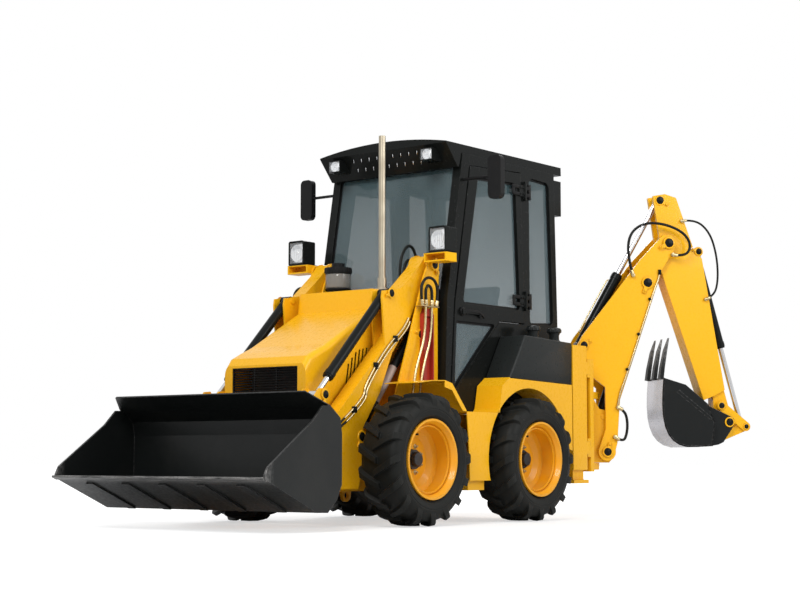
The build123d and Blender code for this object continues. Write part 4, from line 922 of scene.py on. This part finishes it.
finishPiece("hingeLeaves", leaves, "door", [plastic])
finishPiece("hingeMounts", fixed, "chassis", [plastic])
mesh = begin()
spot = at(-0.178, frontAt(2.03) + 0.05, 2.03)
block(mesh, spot - Vector((0.06, 0.012, 0.045)), spot + Vector((0.06, 0.012, 0.045)), 0.011)
disc(mesh, spot + Vector((0, 0, 0.04)), (0, 0.35, 1), 0.007, 0.1, 0.002, 12)
finishPiece("cabMirror", mesh, "chassis", [plastic])
# Intake bowl: a clear wall with dark clamps and a finned dark cap
bowlSpot = at(-0.215, 0.345, 0)
mesh = begin()
lathe(mesh, ((0.0745, 1.395), (0.078, 1.4), (0.0785, 1.475), (0.0765, 1.48), (0.0745, 1.395)), bowlSpot,
      (0, 0, 1), 48)
finishPiece("intakeBowl", mesh, "chassis", [bowlFinish])
mesh = begin()
for z in (1.384, 1.482):
    lathe(mesh, ((0.073, z), (0.0805, z), (0.0805, z + 0.008), (0.073, z + 0.008), (0.073, z)), bowlSpot,
          (0, 0, 1), 48)
for i in range(24):
    angle = i * math.pi / 12
    disc(mesh, bowlSpot + Vector((math.cos(angle) * 0.0815, math.sin(angle) * 0.0815, 1.49)), (0, 0, 1),
         0.003, 0.027, 0.0008, 8)
finishPiece("intakeClamps", mesh, "chassis", [plastic])
print("fittings made")


# Seat: cushions rounded by cloth pressure, on a plain base
seatLook = {"voxel": 0.012, "pressure": 4.0, "frames": 16, "cap": 0.012}


def padShape(low, high, crown, turn=None):
    # a box of fine quads whose broad faces crown between pulled-in corners
    mesh = begin()
    size = [high[i] - low[i] for i in range(3)]
    middle = Vector([(high[i] + low[i]) / 2 for i in range(3)])
    bmesh.ops.create_cube(mesh, size=1)
    bmesh.ops.subdivide_edges(mesh, edges=mesh.edges[:], cuts=9, use_grid_fill=True)
    thin = size.index(min(size))
    for vert in mesh.verts:
        rise = 1.0
        for i in range(3):
            if i != thin:
                rise *= 1 - (2 * vert.co[i]) ** 4
        spread = 1 - 0.05 * (1 - rise)
        for i in range(3):
            vert.co[i] *= size[i] * (spread if i != thin else 1)
        vert.co[thin] *= 1 - crown * (1 - rise)
        if turn:
            vert.co = turn @ vert.co
        vert.co += middle
    return mesh


def settle(name, mesh):
    # remeshes the pad, lets cloth pressure round it, and caps how far any point moves
    data = bpy.data.meshes.new(name)
    mesh.to_mesh(data)
    mesh.free()
    pad = bpy.data.objects.new(name, data)
    scene.collection.objects.link(pad)
    remesh = pad.modifiers.new("remesh", "REMESH")
    remesh.mode = "VOXEL"
    remesh.voxel_size = seatLook["voxel"]
    base = bpy.data.meshes.new_from_object(pad.evaluated_get(bpy.context.evaluated_depsgraph_get()))
    pad.modifiers.clear()
    pad.data = base
    start = [vert.co.copy() for vert in base.vertices]
    cloth = pad.modifiers.new("cloth", "CLOTH")
    cloth.settings.use_pressure = True
    cloth.settings.uniform_pressure_force = seatLook["pressure"]
    cloth.settings.effector_weights.gravity = 0
    cloth.point_cache.frame_end = seatLook["frames"]
    for step in range(1, seatLook["frames"] + 1):
        scene.frame_set(step)
    blown = bpy.data.meshes.new_from_object(pad.evaluated_get(bpy.context.evaluated_depsgraph_get()))
    pad.modifiers.clear()
    pad.data = blown
    for vert, before in zip(blown.vertices, start):
        move = vert.co - before
        if move.length > seatLook["cap"]:
            vert.co = before + move.normalized() * seatLook["cap"]
    scene.frame_set(1)
    return pad


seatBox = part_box("seat")
backTilt = Matrix.Rotation(math.radians(-8), 4, "X")
pads = (("seatCushion", at(-0.215, 1.02, 0.912), at(0.215, 1.4, 1.0), 0.35, None),
        ("seatBack", at(-0.2, 1.395, 1.0), at(0.2, 1.465, 1.5), 0.35, backTilt))
for name, low, high, crown, turn in pads:
    pad = settle(name, padShape(low, high, crown, turn))
    for polygon in pad.data.polygons:
        polygon.use_smooth = True
    smooth = pad.modifiers.new("smooth", "SUBSURF")
    smooth.levels = smooth.render_levels = 1
    pad.data.materials.clear()
    pad.data.materials.append(seatCover)
    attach(pad, "chassis")
    if name == "seatCushion":
        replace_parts(pad, "seat")
mesh = begin()
block(mesh, at(-0.2, 1.045, 0.7455), at(0.2, 1.415, 0.888), 0.012)
block(mesh, at(-0.19, 1.4, 0.86), at(0.19, 1.43, 1.02), 0.008)
finishPiece("seatBase", mesh, "chassis", [plastic])
for name, side in (("leverKnobLeft", 1), ("leverKnobRight", -1)):
    mesh = begin()
    foot = at(side * 0.33, 1.089, 1.272)
    lathe(mesh, ((0.0001, 0.03), (0.012, 0.028), (0.019, 0.018), (0.02, 0.004), (0.014, -0.014),
                 (0.011, -0.02)), foot,
          (0, 0.17, 1), 24)
    finishPiece(name, mesh, "chassis", [plastic])
print("seat made")

# Wheel nuts and hub caps
wheelLook = {"nuts": 8, "nutRing": 0.078, "nutSize": 0.0095, "capRadius": 0.042, "capDepth": 0.03,
             "discFace": -0.026,
             "hubFace": -0.004}
for name, side, y in (("fl", 1, 0.0), ("fr", -1, 0.0), ("rl", 1, machine["wheelbase"]),
                      ("rr", -1, machine["wheelbase"])):
    out = Vector((side, 0, 0))
    centre = at(side * machine["tyreMidX"], y, machine["axleHeight"])
    mesh = begin()
    for i in range(wheelLook["nuts"]):
        angle = (i + 0.5) * 2 * math.pi / wheelLook["nuts"]
        spot = centre + Vector((0, math.cos(angle),
                                math.sin(angle))) * wheelLook["nutRing"] + out * wheelLook["discFace"]
        hexBolt(mesh, spot, out, wheelLook["nutSize"])
        disc(mesh, spot, out, 0.0055, 0.019, 0.001, 12)
    finishPiece(f"wheelNuts_{name}", mesh, f"wheel_{name}", [zinc])
    mesh = begin()
    disc(mesh, centre + out * wheelLook["hubFace"], out, wheelLook["capRadius"], wheelLook["capDepth"], 0.006,
         32, 0.9)
    for i in range(6):
        angle = i * math.pi / 3
        hexBolt(mesh, centre + Vector((0, math.cos(angle),
                                       math.sin(angle))) * 0.047 + out * wheelLook["hubFace"], out, 0.004,
                                       False)
    finishPiece(f"hubCap_{name}", mesh, f"wheel_{name}", [castIron])
print("wheels dressed")

# Floor and backdrop, white to the camera but keeping the shadow
floorMesh = begin()
bmesh.ops.create_grid(floorMesh, x_segments=1, y_segments=1, size=60)
floorData = bpy.data.meshes.new("studioFloor")
floorMesh.to_mesh(floorData)
floorMesh.free()
studioFloor = bpy.data.objects.new("studioFloor", floorData)
scene.collection.objects.link(studioFloor)
floorFinish = Finish("floorFinish")
floorFinish.plug(floorFinish.shader, {"Base Color": colour(0.86, 0.86, 0.86), "Roughness": 0.6})
glow = floorFinish.tree.nodes.new("ShaderNodeEmission")
seen = floorFinish.node("ShaderNodeLightPath", {}, {}, "Is Camera Ray")
away = floorFinish.node("ShaderNodeVectorMath", {"operation": "LENGTH"}, {0: floorFinish.place()}, "Value")
glow.inputs["Strength"].default_value = 1.35
mixer = floorFinish.tree.nodes.new("ShaderNodeMixShader")
floorFinish.tree.links.new((seen * floorFinish.clamp(away, 1.5, 3.2, 0.42, 1.0)).link, mixer.inputs[0])
floorFinish.tree.links.new(floorFinish.shader.outputs[0], mixer.inputs[1])
floorFinish.tree.links.new(glow.outputs[0], mixer.inputs[2])
floorFinish.tree.links.new(mixer.outputs[0], floorFinish.output.inputs[0])
floorData.materials.append(floorFinish.material)

world = bpy.data.worlds.new("studio")
scene.world = world
world.use_nodes = True
worldTree = world.node_tree
worldTree.nodes.clear()
worldOut = worldTree.nodes.new("ShaderNodeOutputWorld")
lit = worldTree.nodes.new("ShaderNodeBackground")
shown = worldTree.nodes.new("ShaderNodeBackground")
rays = worldTree.nodes.new("ShaderNodeLightPath")
which = worldTree.nodes.new("ShaderNodeMixShader")
lit.inputs[0].default_value = (0.92, 0.96, 1.0, 1)
lit.inputs[1].default_value = 0.42
shown.inputs[0].default_value = (1, 1, 1, 1)
shown.inputs[1].default_value = 1.0
shows = []
for ray in ("Is Camera Ray", "Is Glossy Ray", "Is Transmission Ray"):
    shows.append(rays.outputs[ray])
for i in (1, 2):
    either = worldTree.nodes.new("ShaderNodeMath")
    either.operation = "MAXIMUM"
    worldTree.links.new(shows[0], either.inputs[0])
    worldTree.links.new(shows[i], either.inputs[1])
    shows[0] = either.outputs[0]
worldTree.links.new(shows[0], which.inputs[0])
worldTree.links.new(lit.outputs[0], which.inputs[1])
worldTree.links.new(shown.outputs[0], which.inputs[2])
worldTree.links.new(which.outputs[0], worldOut.inputs[0])

lampLooks = {
    "keyLamp": {"spot": (2.5, -6.5, 6.5), "aim": (0, -0.5, 0.8), "size": 3.5, "power": 520},
    "fillLamp": {"spot": (6.5, 1.0, 4.0), "aim": (0, 0, 0.9), "size": 3.5, "power": 200},
    "backLamp": {"spot": (-4.5, 5.5, 5.5), "aim": (0, 0, 1.2), "size": 3.5, "power": 220},
}
for name, look in lampLooks.items():
    data = bpy.data.lights.new(name, "AREA")
    data.size = look["size"]
    data.energy = look["power"]
    lamp = bpy.data.objects.new(name, data)
    lamp.location = look["spot"]
    lamp.rotation_euler = (Vector(look["aim"]) - Vector(look["spot"])).to_track_quat("-Z", "Y").to_euler()
    scene.collection.objects.link(lamp)

cameraData = bpy.data.cameras.new("photoCamera")
cameraData.lens = 76.37
cameraData.sensor_width = 36
camera = bpy.data.objects.new("photoCamera", cameraData)
camera.location = (6.2054, -8.1635, 0.3731)
camera.rotation_euler = (math.radians(95.33), 0, math.radians(38.607))
scene.collection.objects.link(camera)
scene.camera = camera
scene.view_settings.view_transform = "Standard"
print("studio set")
